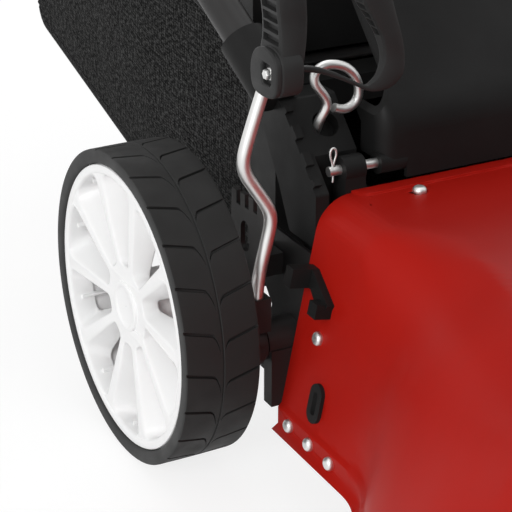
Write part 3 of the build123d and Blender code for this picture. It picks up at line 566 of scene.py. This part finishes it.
def window_outline(hub, ring, hub_half, ring_half, hub_round, ring_round):
    """The opening between two spokes, with soft corners, drawn in the plane of the wheel."""
    turn = Matrix.Rotation(sector, 2)
    low_in = Vector((hub, hub_half))
    low_out = Vector((ring, ring_half))
    high_in = turn @ Vector((hub, -hub_half))
    high_out = turn @ Vector((ring, -ring_half))
    edge_low = (low_out - low_in).normalized()
    edge_high = (high_out - high_in).normalized()
    start = math.atan2(low_out.y, low_out.x) + ring_round / ring
    stop = math.atan2(high_out.y, high_out.x) - ring_round / ring
    hub_start = math.atan2(high_in.y, high_in.x) - hub_round / hub
    hub_stop = math.atan2(low_in.y, low_in.x) + hub_round / hub
    points = bend_points(low_out - edge_low * ring_round, low_out, ring_point(ring, start), ring_steps)
    for step in range(1, ring_steps):
        points.append(ring_point(ring, start + (stop - start) * step / ring_steps))
    points += bend_points(ring_point(ring, stop), high_out, high_out - edge_high * ring_round, ring_steps)
    points += [high_out.lerp(high_in, share) for share in inward_shares]
    points += bend_points(high_in + edge_high * hub_round, high_in, ring_point(hub, hub_start), foot_steps)
    points += bend_points(ring_point(hub, hub_stop), low_in, low_in + edge_low * hub_round, foot_steps)
    points += [low_in.lerp(low_out, share) for share in outward_shares]
    return points


def plate_mesh(name, outlines, half_thickness, edge_round):
    """A flat plate in millimetres with openings and rounded edges, lying in its own X and Y."""
    curve = bpy.data.curves.new(name, "CURVE")
    curve.dimensions = "2D"
    curve.fill_mode = "BOTH"
    curve.extrude = half_thickness - edge_round
    curve.bevel_depth = edge_round
    curve.bevel_resolution = 3
    curve.offset = -edge_round
    for outline in outlines:
        spline = curve.splines.new("POLY")
        spline.points.add(len(outline) - 1)
        for point, place in zip(spline.points, outline):
            point.co = (place[0], place[1], 0, 1)
        spline.use_cyclic_u = True
    return curve_mesh(name, curve)


def turned(shape, profile, steps, place):
    """Add a closed ring to a bmesh: a profile of (radius, depth) points turned round the axle."""
    turns = [2 * math.pi * step / steps for step in range(steps)]
    rings = []
    for radius, depth in profile:
        rings.append([shape.verts.new(place(radius, turn, depth)) for turn in turns])
    join_rings(shape, rings + rings[:1])


def spoke_share(radius):
    """Nought at a spoke's foot and one at the ring."""
    return min(1.0, max(0.0, (radius - spoke_start) / spoke_length))


def spoke_front(radius):
    """How deep the front of a spoke lies behind the tyre's face: shallow at the ring, deeper at the hub."""
    return hub_depth - dish * spoke_share(radius) ** dish_bend


def spoke_depth(radius):
    """How thick a spoke is, front to back."""
    return hub_thickness + ring_thickening * spoke_share(radius)


def add_rib(shape, turn, place):
    """Add a rib across the inside of the ring to a bmesh."""
    ends = []
    for depth in rib_ends:
        corners = [place(radius, turn + side / radius, depth) for radius, side in rib_outline]
        ends.append([shape.verts.new(corner) for corner in corners])
    join_rings(shape, ends)
    shape.faces.new(ends[0])
    shape.faces.new(reversed(ends[1]))


def rim(corner, capped):
    node = "rim_" + corner
    centre, half = middle_and_half("tyre_" + corner)
    outward = 1.0 if centre.y > 0 else -1.0
    width = 2 * half.y
    grow = middle_and_half(node)[1].z / drawn_radius
    deepen = width / tread_width

    def place(radius, turn, depth):
        reach = radius * grow
        return Vector((
            centre.x + reach * math.cos(turn),
            centre.y + outward * (width / 2 - depth * deepen),
            centre.z + reach * math.sin(turn),
        ))

    window = window_outline(hub=27.0, ring=84.0, hub_half=2.9, ring_half=4.6, hub_round=4.4, ring_round=8.0)
    outlines = [ring_points(plate_edge, edge_steps), ring_points(plate_bore, bore_steps)]
    for spoke in range(spoke_count):
        turn = Matrix.Rotation(spoke_turn + sector * spoke, 2)
        outlines.append([turn @ point for point in window])
    mesh = plate_mesh(node + "_plate", outlines, plate_half, plate_round)
    for vertex in mesh.vertices:
        radius = math.hypot(vertex.co.x, vertex.co.y)
        turn = math.atan2(vertex.co.y, vertex.co.x)
        share = (plate_half - vertex.co.z) / (2 * plate_half)
        if plate_bore + plate_margin < radius < plate_edge - plate_margin:
            middle = spoke_turn + sector * (math.floor((turn - spoke_turn) / sector) + 0.5)
            turn = middle + (turn - middle) * (1 - flank_spread * share)
        vertex.co = place(radius, turn, spoke_front(radius) + share * spoke_depth(radius))
    shape = bmesh.new()
    shape.from_mesh(mesh)
    bmesh.ops.remove_doubles(shape, verts=shape.verts, dist=weld_distance)
    turned(shape, ring_profile, edge_steps, place)
    turned(shape, hub_profile, hub_steps, place)
    if not capped:
        turned(shape, cap_profile, hub_steps, place)
    for spoke in range(spoke_count):
        add_rib(shape, spoke_turn + sector * (spoke + 0.5), place)
    shape.to_mesh(mesh)
    shape.free()
    smooth_mesh(mesh, sharp_degrees=35.0)
    make_piece("wheel_rim_" + corner, mesh, "white_plastic", "wheel_" + corner, [node])
    if capped:
        cap_shape = bmesh.new()
        turned(cap_shape, cap_profile, hub_steps, place)
        cap_mesh = finished_mesh("cap_" + corner, cap_shape, sharp_degrees=35.0)
        cap_node = "hub_cap_" + corner
        make_piece("wheel_cap_" + corner, cap_mesh, "white_plastic", "wheel_" + corner, [cap_node])


for end, capped in (("rear", True), ("front", False)):
    for side in ("right", "left"):
        rim(end + "_" + side, capped)


# Places in the CAD layout: millimetres ahead of the rear axle, left of the middle and above the ground
axle_x = middle_and_half("tyre_rear_right")[0].x


def from_axle(x, y, z):
    return Vector((axle_x + x * millimetre, y * millimetre, z * millimetre))


def into_axle(place):
    """A place as millimetres ahead of the rear axle, left of the middle and above the ground."""
    return (place.x - axle_x) / millimetre, place.y / millimetre, place.z / millimetre


def soft_point(before, start, end, after, share):
    """A point or number on the soft curve from start to end that heeds what comes before and after."""
    bend = 2 * before - 5 * start + 4 * end - after
    twist = 3 * start - before - 3 * end + after
    return 0.5 * (2 * start + (end - before) * share + bend * share ** 2 + twist * share ** 3)


def smooth_loop(points, steps):
    """A closed soft line through points."""
    count = len(points)
    line = []
    for index in range(count):
        near = [Vector(points[(index + offset) % count]) for offset in (-1, 0, 1, 2)]
        for step in range(steps):
            line.append(soft_point(*near, step / steps))
    return line


def soft_rows(rows, steps):
    """Rows of numbers passed through softly, with more rows between."""
    made = []
    last = len(rows) - 1
    for index in range(last):
        near = [rows[min(max(index + offset, 0), last)] for offset in (-1, 0, 1, 2)]
        for step in range(steps):
            made.append([soft_point(*values, step / steps) for values in zip(*near)])
    made.append(list(rows[-1]))
    return made


# Height lever's looped grip: a moulded bar that tapers to a thin strap, with finger ridges on two sides
# Each row: outer edge Y and Z, inner edge Y and Z, back and front X
grip_rows = [
    (-166, 262, -154, 262, 72, 98), (-168.5, 275, -152.5, 275, 72, 98), (-167, 287, -150.5, 287, 72, 97),
    (-167, 298, -149.5, 298, 72, 96), (-168, 308, -150, 308, 72, 96), (-167.5, 319, -150, 317, 72, 95),
    (-163, 331, -147, 323, 72, 94), (-152, 341, -141, 328, 71, 93), (-137, 345.5, -132, 331, 71, 92),
    (-120, 344, -121, 330, 71, 91), (-106, 336, -113.5, 323, 71, 90), (-97, 323, -111, 312, 71, 90),
    (-92.5, 308, -109, 301, 72, 89), (-88, 293, -103, 290, 74, 89), (-83.5, 279, -97, 279, 76, 89),
    (-80.5, 266, -94.6, 267, 79, 88), (-81.5, 255, -97.5, 258, 81, 88),
    (-90, 248.2, -102.5, 253.5, 82.5, 88), (-103, 247.8, -107.5, 252.4, 83.5, 88),
    (-116, 254.2, -118, 258.2, 84, 88), (-130, 261, -131, 265, 84, 88),
    (-143, 265.5, -143.5, 269.4, 84, 88.5), (-156, 267, -156, 271, 84.5, 88.5),
]
row_steps = 16
ridge_pitch = 6.4
ridge_gap = 3.9
outer_ridges = (24, 66)
inner_ridges = (128, 172)
pocket_depth = 2.8
pocket_margin = 3.6
pocket_slope = 0.4
bar_round = 2.6
round_limit = 0.42
round_ease = 0.3
margin_limit = 0.45


def pocket(walked, start, stop):
    """Depth of the finger pockets at a distance along the bar."""
    if not start < walked < stop:
        return 0.0
    return pocket_depth if (walked - start) % ridge_pitch < ridge_gap else 0.0


def bar_section(outer, inner, back, front, outer_cut, inner_cut):
    """Points round one section of the grip's bar, with rounded corners and a pocket in either side."""
    reach = inner - outer
    span = reach.length
    curl = min(bar_round, span * round_limit, (front - back) * round_limit)
    soft = curl * round_ease
    margin = min(pocket_margin, (front - back) * margin_limit)
    front_edge = front - margin
    back_edge = back + margin
    spots = [
        (0, front - curl), (soft, front - soft), (curl, front), (span - curl, front),
        (span - soft, front - soft), (span, front - curl), (span, front_edge),
        (span - inner_cut, front_edge - pocket_slope), (span - inner_cut, back_edge + pocket_slope),
        (span, back_edge), (span, back + curl), (span - soft, back + soft), (span - curl, back),
        (curl, back), (soft, back + soft), (0, back + curl), (0, back_edge),
        (outer_cut, back_edge + pocket_slope), (outer_cut, front_edge - pocket_slope), (0, front_edge),
    ]
    section = []
    for along, x in spots:
        spot = outer + reach * (along / span)
        section.append(from_axle(x, spot.x, spot.y))
    return section


bar_rows = []
walked = 0.0
previous = None
for outer_y, outer_z, inner_y, inner_z, back, front in soft_rows(grip_rows, row_steps):
    outer = Vector((outer_y, outer_z))
    inner = Vector((inner_y, inner_z))
    middle = (outer + inner) / 2
    walked += (middle - previous).length if previous else 0.0
    previous = middle
    outer_cut = pocket(walked, *outer_ridges)
    inner_cut = pocket(walked, *inner_ridges)
    bar_rows.append(bar_section(outer, inner, back, front, outer_cut, inner_cut))
grip_mesh = grid_mesh("height_grip", bar_rows, sharp_degrees=42.0, close_columns=True)
grip_shape = bmesh.new()
grip_shape.from_mesh(grip_mesh)

# Boot round the grip's foot, with the bolt's recess in its outer layer
boot_points = [
    (70, 264), (70.5, 273), (75, 280.5), (84, 284), (94, 283), (100.5, 277), (101, 265), (98, 258.5),
    (90, 255.8), (80, 255.4), (73, 257.5),
]
boot_outline = smooth_loop(boot_points, steps=5)
recess_outline = [
    (83.4, 265.4), (83.4, 273.6), (84.9, 275.6), (92.7, 275.6), (94.2, 273.6), (94.2, 265.4), (92.7, 263.4),
    (84.9, 263.4),
]
# Each layer: outlines, Y of its middle, half its thickness and the rounding of its edges
boot_layers = (
    ([boot_outline, recess_outline], -170.4, 2.0, 1.2),
    ([boot_outline], -161.8, 7.5, 2.4),
)
for outlines, middle_y, half_thickness, edge_round in boot_layers:
    layer = plate_mesh("grip_boot", outlines, half_thickness, edge_round)
    for vertex in layer.vertices:
        vertex.co = from_axle(vertex.co.x, middle_y + vertex.co.z, vertex.co.y)
    grip_shape.from_mesh(layer)
    bpy.data.meshes.remove(layer)
bmesh.ops.remove_doubles(grip_shape, verts=grip_shape.verts, dist=weld_distance)
grip_shape.to_mesh(grip_mesh)
grip_shape.free()
smooth_mesh(grip_mesh, sharp_degrees=42.0)
grip_piece = make_piece("height_grip", grip_mesh, "black_plastic", "rear_axle", ["lever_grip"])
grip_piece.data.materials[0] = materials["grip_plastic"]


# Flanged hexagon bolt in the grip's recess
bolt_centre = from_axle(88.6, -168.9, 269.4)
bolt_axis = Vector((0, -1, 0))
bolt_flange = [(0.0039, -0.001), (0.0039, 0.0006), (0.0037, 0.0010), (0.0034, 0.0013)]
bolt_head = [(0.0031, 0.0008), (0.0031, 0.0036), (0.0027, 0.0043), (0.0016, 0.0045)]
bolt_twist = 0.3
hexagon = 6
bolt_shape = bmesh.new()
turned_piece(bolt_shape, bolt_centre, bolt_axis, bolt_flange, steps=32)
turned_piece(bolt_shape, bolt_centre, bolt_axis, bolt_head, hexagon, bolt_twist)
bolt_mesh = finished_mesh("grip_hex_bolt", bolt_shape, sharp_degrees=28.0)
make_piece("grip_hex_bolt", bolt_mesh, "bright_steel", "rear_axle", ["grip_bolt"])


# Bent wires and bars, drawn as smooth curves along points in the CAD layout
def wire_mesh(name, points, radius, roundness=4):
    curve = bpy.data.curves.new(name, "CURVE")
    curve.dimensions = "3D"
    curve.bevel_depth = radius * millimetre
    curve.bevel_resolution = roundness
    curve.resolution_u = 10
    curve.use_fill_caps = True
    spline = curve.splines.new("NURBS")
    spline.points.add(len(points) - 1)
    for point, place in zip(spline.points, points):
        point.co = tuple(from_axle(*place)) + (1,)
    spline.order_u = 4
    spline.use_endpoint_u = True
    mesh = curve_mesh(name, curve)
    smooth_mesh(mesh, sharp_degrees=40.0)
    return mesh


# Starter rope eye: a bent wire whose loop stays open beside its shank
eye_wire = 2.9
eye_line = [
    (38.4, -112.5, 209.3), (42, -112.5, 211), (46, -114.5, 218), (48.4, -111, 224.5), (48.4, -108.8, 230),
    (48.4, -113, 237), (48.4, -118.6, 243), (48.4, -119.2, 249.5), (48.4, -113.8, 253.8),
    (48.4, -106, 253.6), (48.4, -97.8, 251.2), (48.4, -91, 245), (48.4, -87.6, 237), (48.4, -88, 229.4),
    (48.4, -92.6, 224.6), (48.4, -98.5, 223.4), (48.4, -105, 226.2),
]
make_piece("rope_eye", wire_mesh("rope_eye", eye_line, eye_wire), "bright_steel", "mower", ["rope_guide"])


# Lever rod: a steel bar with soft bends between its straight runs
lever_bar = 4.0
lever_bend = 15.0
lever_places = ((66, -167, 105), (77, -171, 140), (77, -161, 179), (77, -183, 213), (77, -163.5, 268))
lever_corners = [Vector(place) for place in lever_places]
lever_line = [lever_corners[0]]
for before, corner, after in zip(lever_corners, lever_corners[1:], lever_corners[2:]):
    lever_line.append(corner + (before - corner).normalized() * lever_bend)
    lever_line.append(corner)
    lever_line.append(corner + (after - corner).normalized() * lever_bend)
lever_line.append(lever_corners[-1])
lever_mesh = wire_mesh("lever_bar", lever_line, lever_bar)
make_piece("lever_bar", lever_mesh, "bright_steel", "rear_axle", ["lever_rod"])


# Grass bag: a sewn shell of woven cloth, hung from the lid and its frame
bag_half = 111.4
bag_front_x = -43.0
bag_bend_x = -200.0
bag_rear_x = -431.5
floor_front_z = 68.6
floor_bend_z = 88.3
floor_rear_z = 153.0
top_front_z = 229.6
top_rear_z = 321.6
corner_round = 5.0
rear_round = 14.0
rear_dome = 3.0
dome_reach = 70.0
side_bulge = 2.6
side_fold = 0.5
side_waves = (11, 5)
floor_sag = 4.5
floor_fold = 0.6
floor_waves = (9, 7)
side_steps = 16
corner_steps = 4
floor_steps = 20
length_steps = 36
rear_angles = (20, 40, 60, 75)
rear_insets = (0.6, 3, 8, 16, 28, 42, 58, 74, 90, 104, 110.8)
cloth_thickness = 0.0012
least_run = 0.0008


def bag_top(x):
    share = (bag_front_x - x) / (bag_front_x - bag_rear_x)
    return top_front_z + (top_rear_z - top_front_z) * share


def bag_floor(x):
    """Height of the bag's underside: a shallow run, a bend, a steeper run and a rounded rear corner."""
    if x > bag_bend_x:
        share = (bag_front_x - x) / (bag_front_x - bag_bend_x)
        height = floor_front_z + (floor_bend_z - floor_front_z) * share
    else:
        share = (bag_bend_x - x) / (bag_bend_x - bag_rear_x)
        height = floor_bend_z + (floor_rear_z - floor_bend_z) * share
    into = rear_round - (x - bag_rear_x)
    if into > 0:
        height += rear_round - math.sqrt(max(0.0, rear_round ** 2 - into ** 2))
    return height


def swell(share):
    return math.sin(math.pi * min(1.0, max(0.0, share)))


def bag_section(x, inset, fullness):
    """One U of cloth across the bag: down the right side, over the floor and up the left side."""
    top = bag_top(x)
    low = bag_floor(x) + inset
    half = bag_half - inset
    curl = min(corner_round, half)
    along = (bag_front_x - x) / (bag_front_x - bag_rear_x)
    right = []
    for step in range(side_steps + 1):
        share = step / side_steps
        height = top + (low + curl - top) * share
        fold = side_fold * math.sin(side_waves[0] * along + side_waves[1] * share)
        right.append((-half - fullness * swell(share) * (side_bulge * swell(along) + fold), height))
    for step in range(1, corner_steps):
        angle = math.pi / 2 * step / corner_steps
        right.append((-half + curl * (1 - math.cos(angle)), low + curl * (1 - math.sin(angle))))
    floor_line = []
    for step in range(floor_steps + 1):
        share = step / floor_steps
        across_bag = -half + curl + 2 * (half - curl) * share
        fold = floor_fold * math.sin(floor_waves[0] * along + floor_waves[1] * share)
        floor_line.append((across_bag, low - fullness * swell(share) * (floor_sag * swell(along) + fold)))
    left = [(-across_bag, height) for across_bag, height in reversed(right)]
    return [(x, across_bag, height) for across_bag, height in right + floor_line + left]


straight_run = bag_front_x - bag_rear_x - rear_round
stations = [bag_front_x - straight_run * step / length_steps for step in range(length_steps + 1)]
stations += [bag_rear_x + rear_round * (1 - math.sin(math.radians(angle))) for angle in rear_angles]
bag_rows = [bag_section(x, 0.0, 1.0) for x in stations]
for inset in rear_insets:
    rear_x = bag_rear_x - rear_dome * math.sin(math.pi / 2 * min(1.0, inset / dome_reach))
    rear_section = bag_section(bag_rear_x, inset, 0.0)
    bag_rows.append([(rear_x, across_bag, height) for _, across_bag, height in rear_section])


def bag_shell(name, rows):
    """The bag's cloth, with UVs in metres along and across its panels."""
    points = [[from_axle(*point) for point in row] for row in rows]
    mesh = grid_mesh(name, points, sharp_degrees=60.0)
    layer = mesh.uv_layers.new(name="cloth")
    count = len(rows[0])
    floor_edge = side_steps + corner_steps
    runs = [0.0]
    for before, after in zip(points, points[1:]):
        runs.append(runs[-1] + max(least_run, (after[floor_edge] - before[floor_edge]).length))
    spans = []
    for row in points:
        span = [0.0]
        for before, after in zip(row, row[1:]):
            span.append(span[-1] + (after - before).length)
        middle = span[-1] / 2
        spans.append([value - middle for value in span])
    for loop in mesh.loops:
        row, column = divmod(loop.vertex_index, count)
        layer.data[loop.index].uv = (spans[row][column], runs[row])
    return mesh


bag_mesh = bag_shell("grass_bag", bag_rows)
bag_piece = make_piece("grass_bag", bag_mesh, "bag_cloth", "bag", ["bag_fabric"])
thicken = bag_piece.modifiers.new("cloth", "SOLIDIFY")
thicken.thickness = cloth_thickness
thicken.offset = -1.0


# Piping along the bag's seams and hems, and stitches beside it
seam_radius = 0.0016
hem_radius = 0.0022
stitch_pitch = 0.0046
stitch_half = 0.0014
stitch_sink = 0.0002
stitch_rise = 0.0006
stitch_radius = 0.00042
stitch_sides = 5
stitch_height = 0.25


def seam_points(column):
    return [from_axle(*row[column]) for row in bag_rows[:len(stations)]]


def add_tube(shape, points, radius, sides=8):
    """Add a closed tube along points to a bmesh."""
    rings = []
    aside = None
    for index, point in enumerate(points):
        ahead = points[min(index + 1, len(points) - 1)] - points[max(index - 1, 0)]
        ahead.normalize()
        if aside is None:
            aside = ahead.orthogonal()
        aside = (aside - ahead * aside.dot(ahead)).normalized()
        other = ahead.cross(aside)
        ring = []
        for side in range(sides):
            angle = 2 * math.pi * side / sides
            around = aside * math.cos(angle) + other * math.sin(angle)
            ring.append(shape.verts.new(point + around * radius))
        rings.append(ring)
    join_rings(shape, rings)
    shape.faces.new(rings[0])
    shape.faces.new(reversed(rings[-1]))


def even_points(points, spacing):
    """Points at even steps along a line, with the direction there."""
    walked = []
    left_over = spacing / 2
    for start, end in zip(points, points[1:]):
        run = (end - start).length
        while left_over <= run:
            walked.append((start.lerp(end, left_over / run), (end - start).normalized()))
            left_over += spacing
        left_over -= run
    return walked


corner_column = side_steps + corner_steps // 2
last_column = len(bag_rows[0]) - 1
trim_shape = bmesh.new()
for column in (corner_column, last_column - corner_column):
    add_tube(trim_shape, seam_points(column), seam_radius)
for column in (0, last_column):
    add_tube(trim_shape, seam_points(column), hem_radius)
# Each row of stitches: the column at the corner's edge, the column above it, and which way is out
stitch_rows = (
    (side_steps, side_steps - 1, Vector((0, -1, 0))),
    (last_column - side_steps, last_column - side_steps + 1, Vector((0, 1, 0))),
)
for edge, above, out in stitch_rows:
    stitch_line = [low.lerp(high, stitch_height) for low, high in zip(seam_points(edge), seam_points(above))]
    for spot, ahead in even_points(stitch_line, stitch_pitch):
        start = spot + out * stitch_sink - ahead * stitch_half
        end = spot + out * stitch_sink + ahead * stitch_half
        add_tube(trim_shape, [start, spot + out * stitch_rise, end], stitch_radius, stitch_sides)
trim_mesh = finished_mesh("bag_piping", trim_shape, sharp_degrees=50.0)
piping = make_piece("bag_piping", trim_mesh, "soft_rubber", "bag", [])


# Hairpin clips through the ends of the hinge rod
hairpin_wire = 0.75
hairpin_line = [
    (68.0, 116.4, 187.4), (68.4, 116.0, 190), (68.6, 116.6, 196), (68.6, 116.2, 200), (68.6, 114.4, 204),
    (68.6, 114.6, 208.2), (68.6, 116.6, 209.6), (68.6, 118.6, 208.2), (68.6, 118.8, 204), (68.6, 117.0, 200),
    (68.6, 116.6, 196), (69.6, 117.0, 191), (70.0, 117.4, 188.6),
]
for name, side, replaced in (("hairpin_right", -1, ["split_pins"]), ("hairpin_left", 1, [])):
    clip = wire_mesh(name, [(x, side * y, z) for x, y, z in hairpin_line], hairpin_wire, roundness=3)
    make_piece(name, clip, "bright_steel", "mower", replaced)


# Foam sleeve on the handlebar, slightly swollen between rounded ends
sleeve_steps = 48
sleeve_inset = 0.0012
sleeve_taper = 0.035
end_start = 0.97
end_taper = 0.10
ripple_height = 0.006
ripple_fast = 2.4
ripple_slow = 0.7
# Each row at an end: share of the sleeve's radius, and distance in from the end
sleeve_ends = ((0.72, 0.0), (0.86, 0.0004))
sleeve_centre, sleeve_size = middle_and_half("foam_grip")
sleeve_radius = sleeve_size.z
sleeve_half = sleeve_size.y
sleeve_profile = [(sleeve_radius * share, inset - sleeve_half) for share, inset in sleeve_ends]
for step in range(sleeve_steps + 1):
    along = -1 + 2 * step / sleeve_steps
    end_share = max(0.0, abs(along) - end_start) / (1 - end_start)
    ripple = ripple_height * (math.sin(step * ripple_fast) * math.cos(step * ripple_slow) - 1)
    swollen = 1 - sleeve_taper * along ** 2 - end_taper * end_share + ripple
    sleeve_profile.append((sleeve_radius * swollen, along * (sleeve_half - sleeve_inset)))
sleeve_profile += [(sleeve_radius * share, sleeve_half - inset) for share, inset in reversed(sleeve_ends)]
sleeve_shape = bmesh.new()
turned_piece(sleeve_shape, sleeve_centre, Vector((0, 1, 0)), sleeve_profile, steps=48)
sleeve_mesh = finished_mesh("foam_sleeve", sleeve_shape, sharp_degrees=50.0)
sleeve = make_piece("foam_sleeve", sleeve_mesh, "foam", "handle", ["foam_grip"])


# Flanged bolts that hold the engine's cowl and its foot, in rings round the crankshaft
recoil_reach = 0.084
cowl_sink = 0.0012
foot_rise = 0.016
crankshaft_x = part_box("recoil_cover")[0].x + recoil_reach
cowl_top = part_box("blower_housing")[1].z - cowl_sink
foot_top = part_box("engine_block")[0].z + foot_rise
# Each ring: its radius, its height, the size of its bolts and where they stand, in degrees
bolt_rings = (
    (0.076, cowl_top, 0.0042, (45, 135, 225, 315)),
    (0.071, foot_top, 0.0055, (60, 180, 300)),
)


def flanged_bolt(shape, centre, axis, size):
    """Add a hexagon bolt with a round flange to a bmesh; size is the radius across its corners."""
    flange = [(size * 1.3, -0.0008), (size * 1.3, 0.0006), (size * 1.18, 0.0012)]
    head = [(size, 0.001), (size, size * 0.9), (size * 0.82, size * 1.08)]
    turned_piece(shape, centre, axis, flange, steps=28)
    turned_piece(shape, centre, axis, head, hexagon, twist=0.35)


bolt_group = bmesh.new()
for radius, height, size, angles in bolt_rings:
    for angle in angles:
        turn = math.radians(angle)
        spot = Vector((crankshaft_x + radius * math.cos(turn), radius * math.sin(turn), height))
        flanged_bolt(bolt_group, spot, Vector((0, 0, 1)), size)
bolt_group_mesh = finished_mesh("engine_bolts", bolt_group, sharp_degrees=28.0)
make_piece("engine_bolts", bolt_group_mesh, "bright_steel", "mower", [])


# Deck drawn from one sheet: the crease between the rear box and the drum eases into one sweep
# Where the easing fades in or out, in millimetres ahead of the axle, to either side and above the ground
waist_rear_fade = (126, 168)
waist_front_fade = (300, 365)
waist_side_fade = (84, 128)
waist_up_fade = (62, 92)
bead_rear_fade = (76.4, 79)
bead_front_fade = (90, 98)
bead_side_fade = (128, 140)
bead_up_fade = (172, 176)
# Where the sheet is divided finely, in millimetres, and its longest edges there, in metres
waist_rear = 92
waist_front = 385
waist_side = 76
waist_low = 44
waist_edge = 0.007
bead_front = 100
bead_side = 142
bead_low = 170
bead_edge = 0.004
most_splits = 9
waist_rounds = 330
bead_rounds = 14
drift_rate = 0.6
sheet_weld = 0.00001


def fade_in(value, start, stop):
    """0 before start, 1 after stop, and smooth between them."""
    share = min(1.0, max(0.0, (value - start) / (stop - start)))
    return share * share * (3 - 2 * share)


def between(value, rise, fall):
    """1 between two fades, and 0 outside them."""
    return fade_in(value, *rise) * (1 - fade_in(value, *fall))


def waist_share(place):
    """How far the easing reaches: full on the wall and shoulder between the rear box and the drum."""
    forward, sideways, up = into_axle(place)
    lengthwise = between(forward, waist_rear_fade, waist_front_fade)
    return lengthwise * fade_in(abs(sideways), *waist_side_fade) * fade_in(up, *waist_up_fade)


def bead_share(place):
    """How far the easing reaches: full on the pressed bead along the rear top edge."""
    forward, sideways, up = into_axle(place)
    lengthwise = between(forward, bead_rear_fade, bead_front_fade)
    return lengthwise * (1 - fade_in(abs(sideways), *bead_side_fade)) * fade_in(up, *bead_up_fade)


def waist_room(place):
    """True on the whole wall and shoulder round the waist, where the sheet is divided finely."""
    forward, sideways, up = into_axle(place)
    return waist_rear < forward < waist_front and abs(sideways) > waist_side and up > waist_low


def bead_room(place):
    """True on and beside the bead along the rear top edge."""
    forward, sideways, up = into_axle(place)
    return forward < bead_front and abs(sideways) < bead_side and up > bead_low


def split_long_edges(shape, room, longest):
    """Divide the edges of a bmesh that reach into a room, until none of them is longer than longest."""
    for _ in range(most_splits):
        long_edges = []
        for edge in shape.edges:
            if edge.calc_length() > longest:
                first, second = (vertex.co for vertex in edge.verts)
                if room(first) or room(second) or room((first + second) / 2):
                    long_edges.append(edge)
        if not long_edges:
            return
        bmesh.ops.subdivide_edges(shape, edges=long_edges, cuts=1)
        bmesh.ops.triangulate(shape, faces=[face for face in shape.faces if len(face.verts) > 3])


def ease(shape, reach, rounds):
    """Let each vertex drift towards its neighbours, as far as reach allows there."""
    shape.verts.index_update()
    places = numpy.array([vertex.co for vertex in shape.verts])
    firsts = numpy.array([edge.verts[0].index for edge in shape.edges])
    seconds = numpy.array([edge.verts[1].index for edge in shape.edges])
    count = numpy.bincount(numpy.concatenate((firsts, seconds)), minlength=len(places))[:, None]
    share = numpy.array([reach(vertex.co) for vertex in shape.verts])[:, None]
    near = numpy.flatnonzero((share[firsts] + share[seconds])[:, 0] > 0)
    starts = numpy.concatenate((firsts[near], seconds[near]))
    stops = numpy.concatenate((seconds[near], firsts[near]))
    for _ in range(rounds):
        sums = [numpy.bincount(starts, places[stops, axis], len(places)) for axis in range(3)]
        pull = numpy.stack(sums, 1) / count - places
        places += numpy.where(share > 0, drift_rate * share * pull, 0)
    for vertex, place in zip(shape.verts, places):
        vertex.co = place


deck_shape = bmesh.new()
deck_shape.from_mesh(nodes["deck_shell"].data)
bmesh.ops.remove_doubles(deck_shape, verts=deck_shape.verts, dist=sheet_weld)
split_long_edges(deck_shape, waist_room, waist_edge)
ease(deck_shape, waist_share, waist_rounds)
split_long_edges(deck_shape, bead_room, bead_edge)
ease(deck_shape, bead_share, bead_rounds)
deck_mesh = finished_mesh("deck_skin", deck_shape, sharp_degrees=32.0)
make_piece("deck_skin", deck_mesh, "red_paint", "mower", ["deck_shell"])
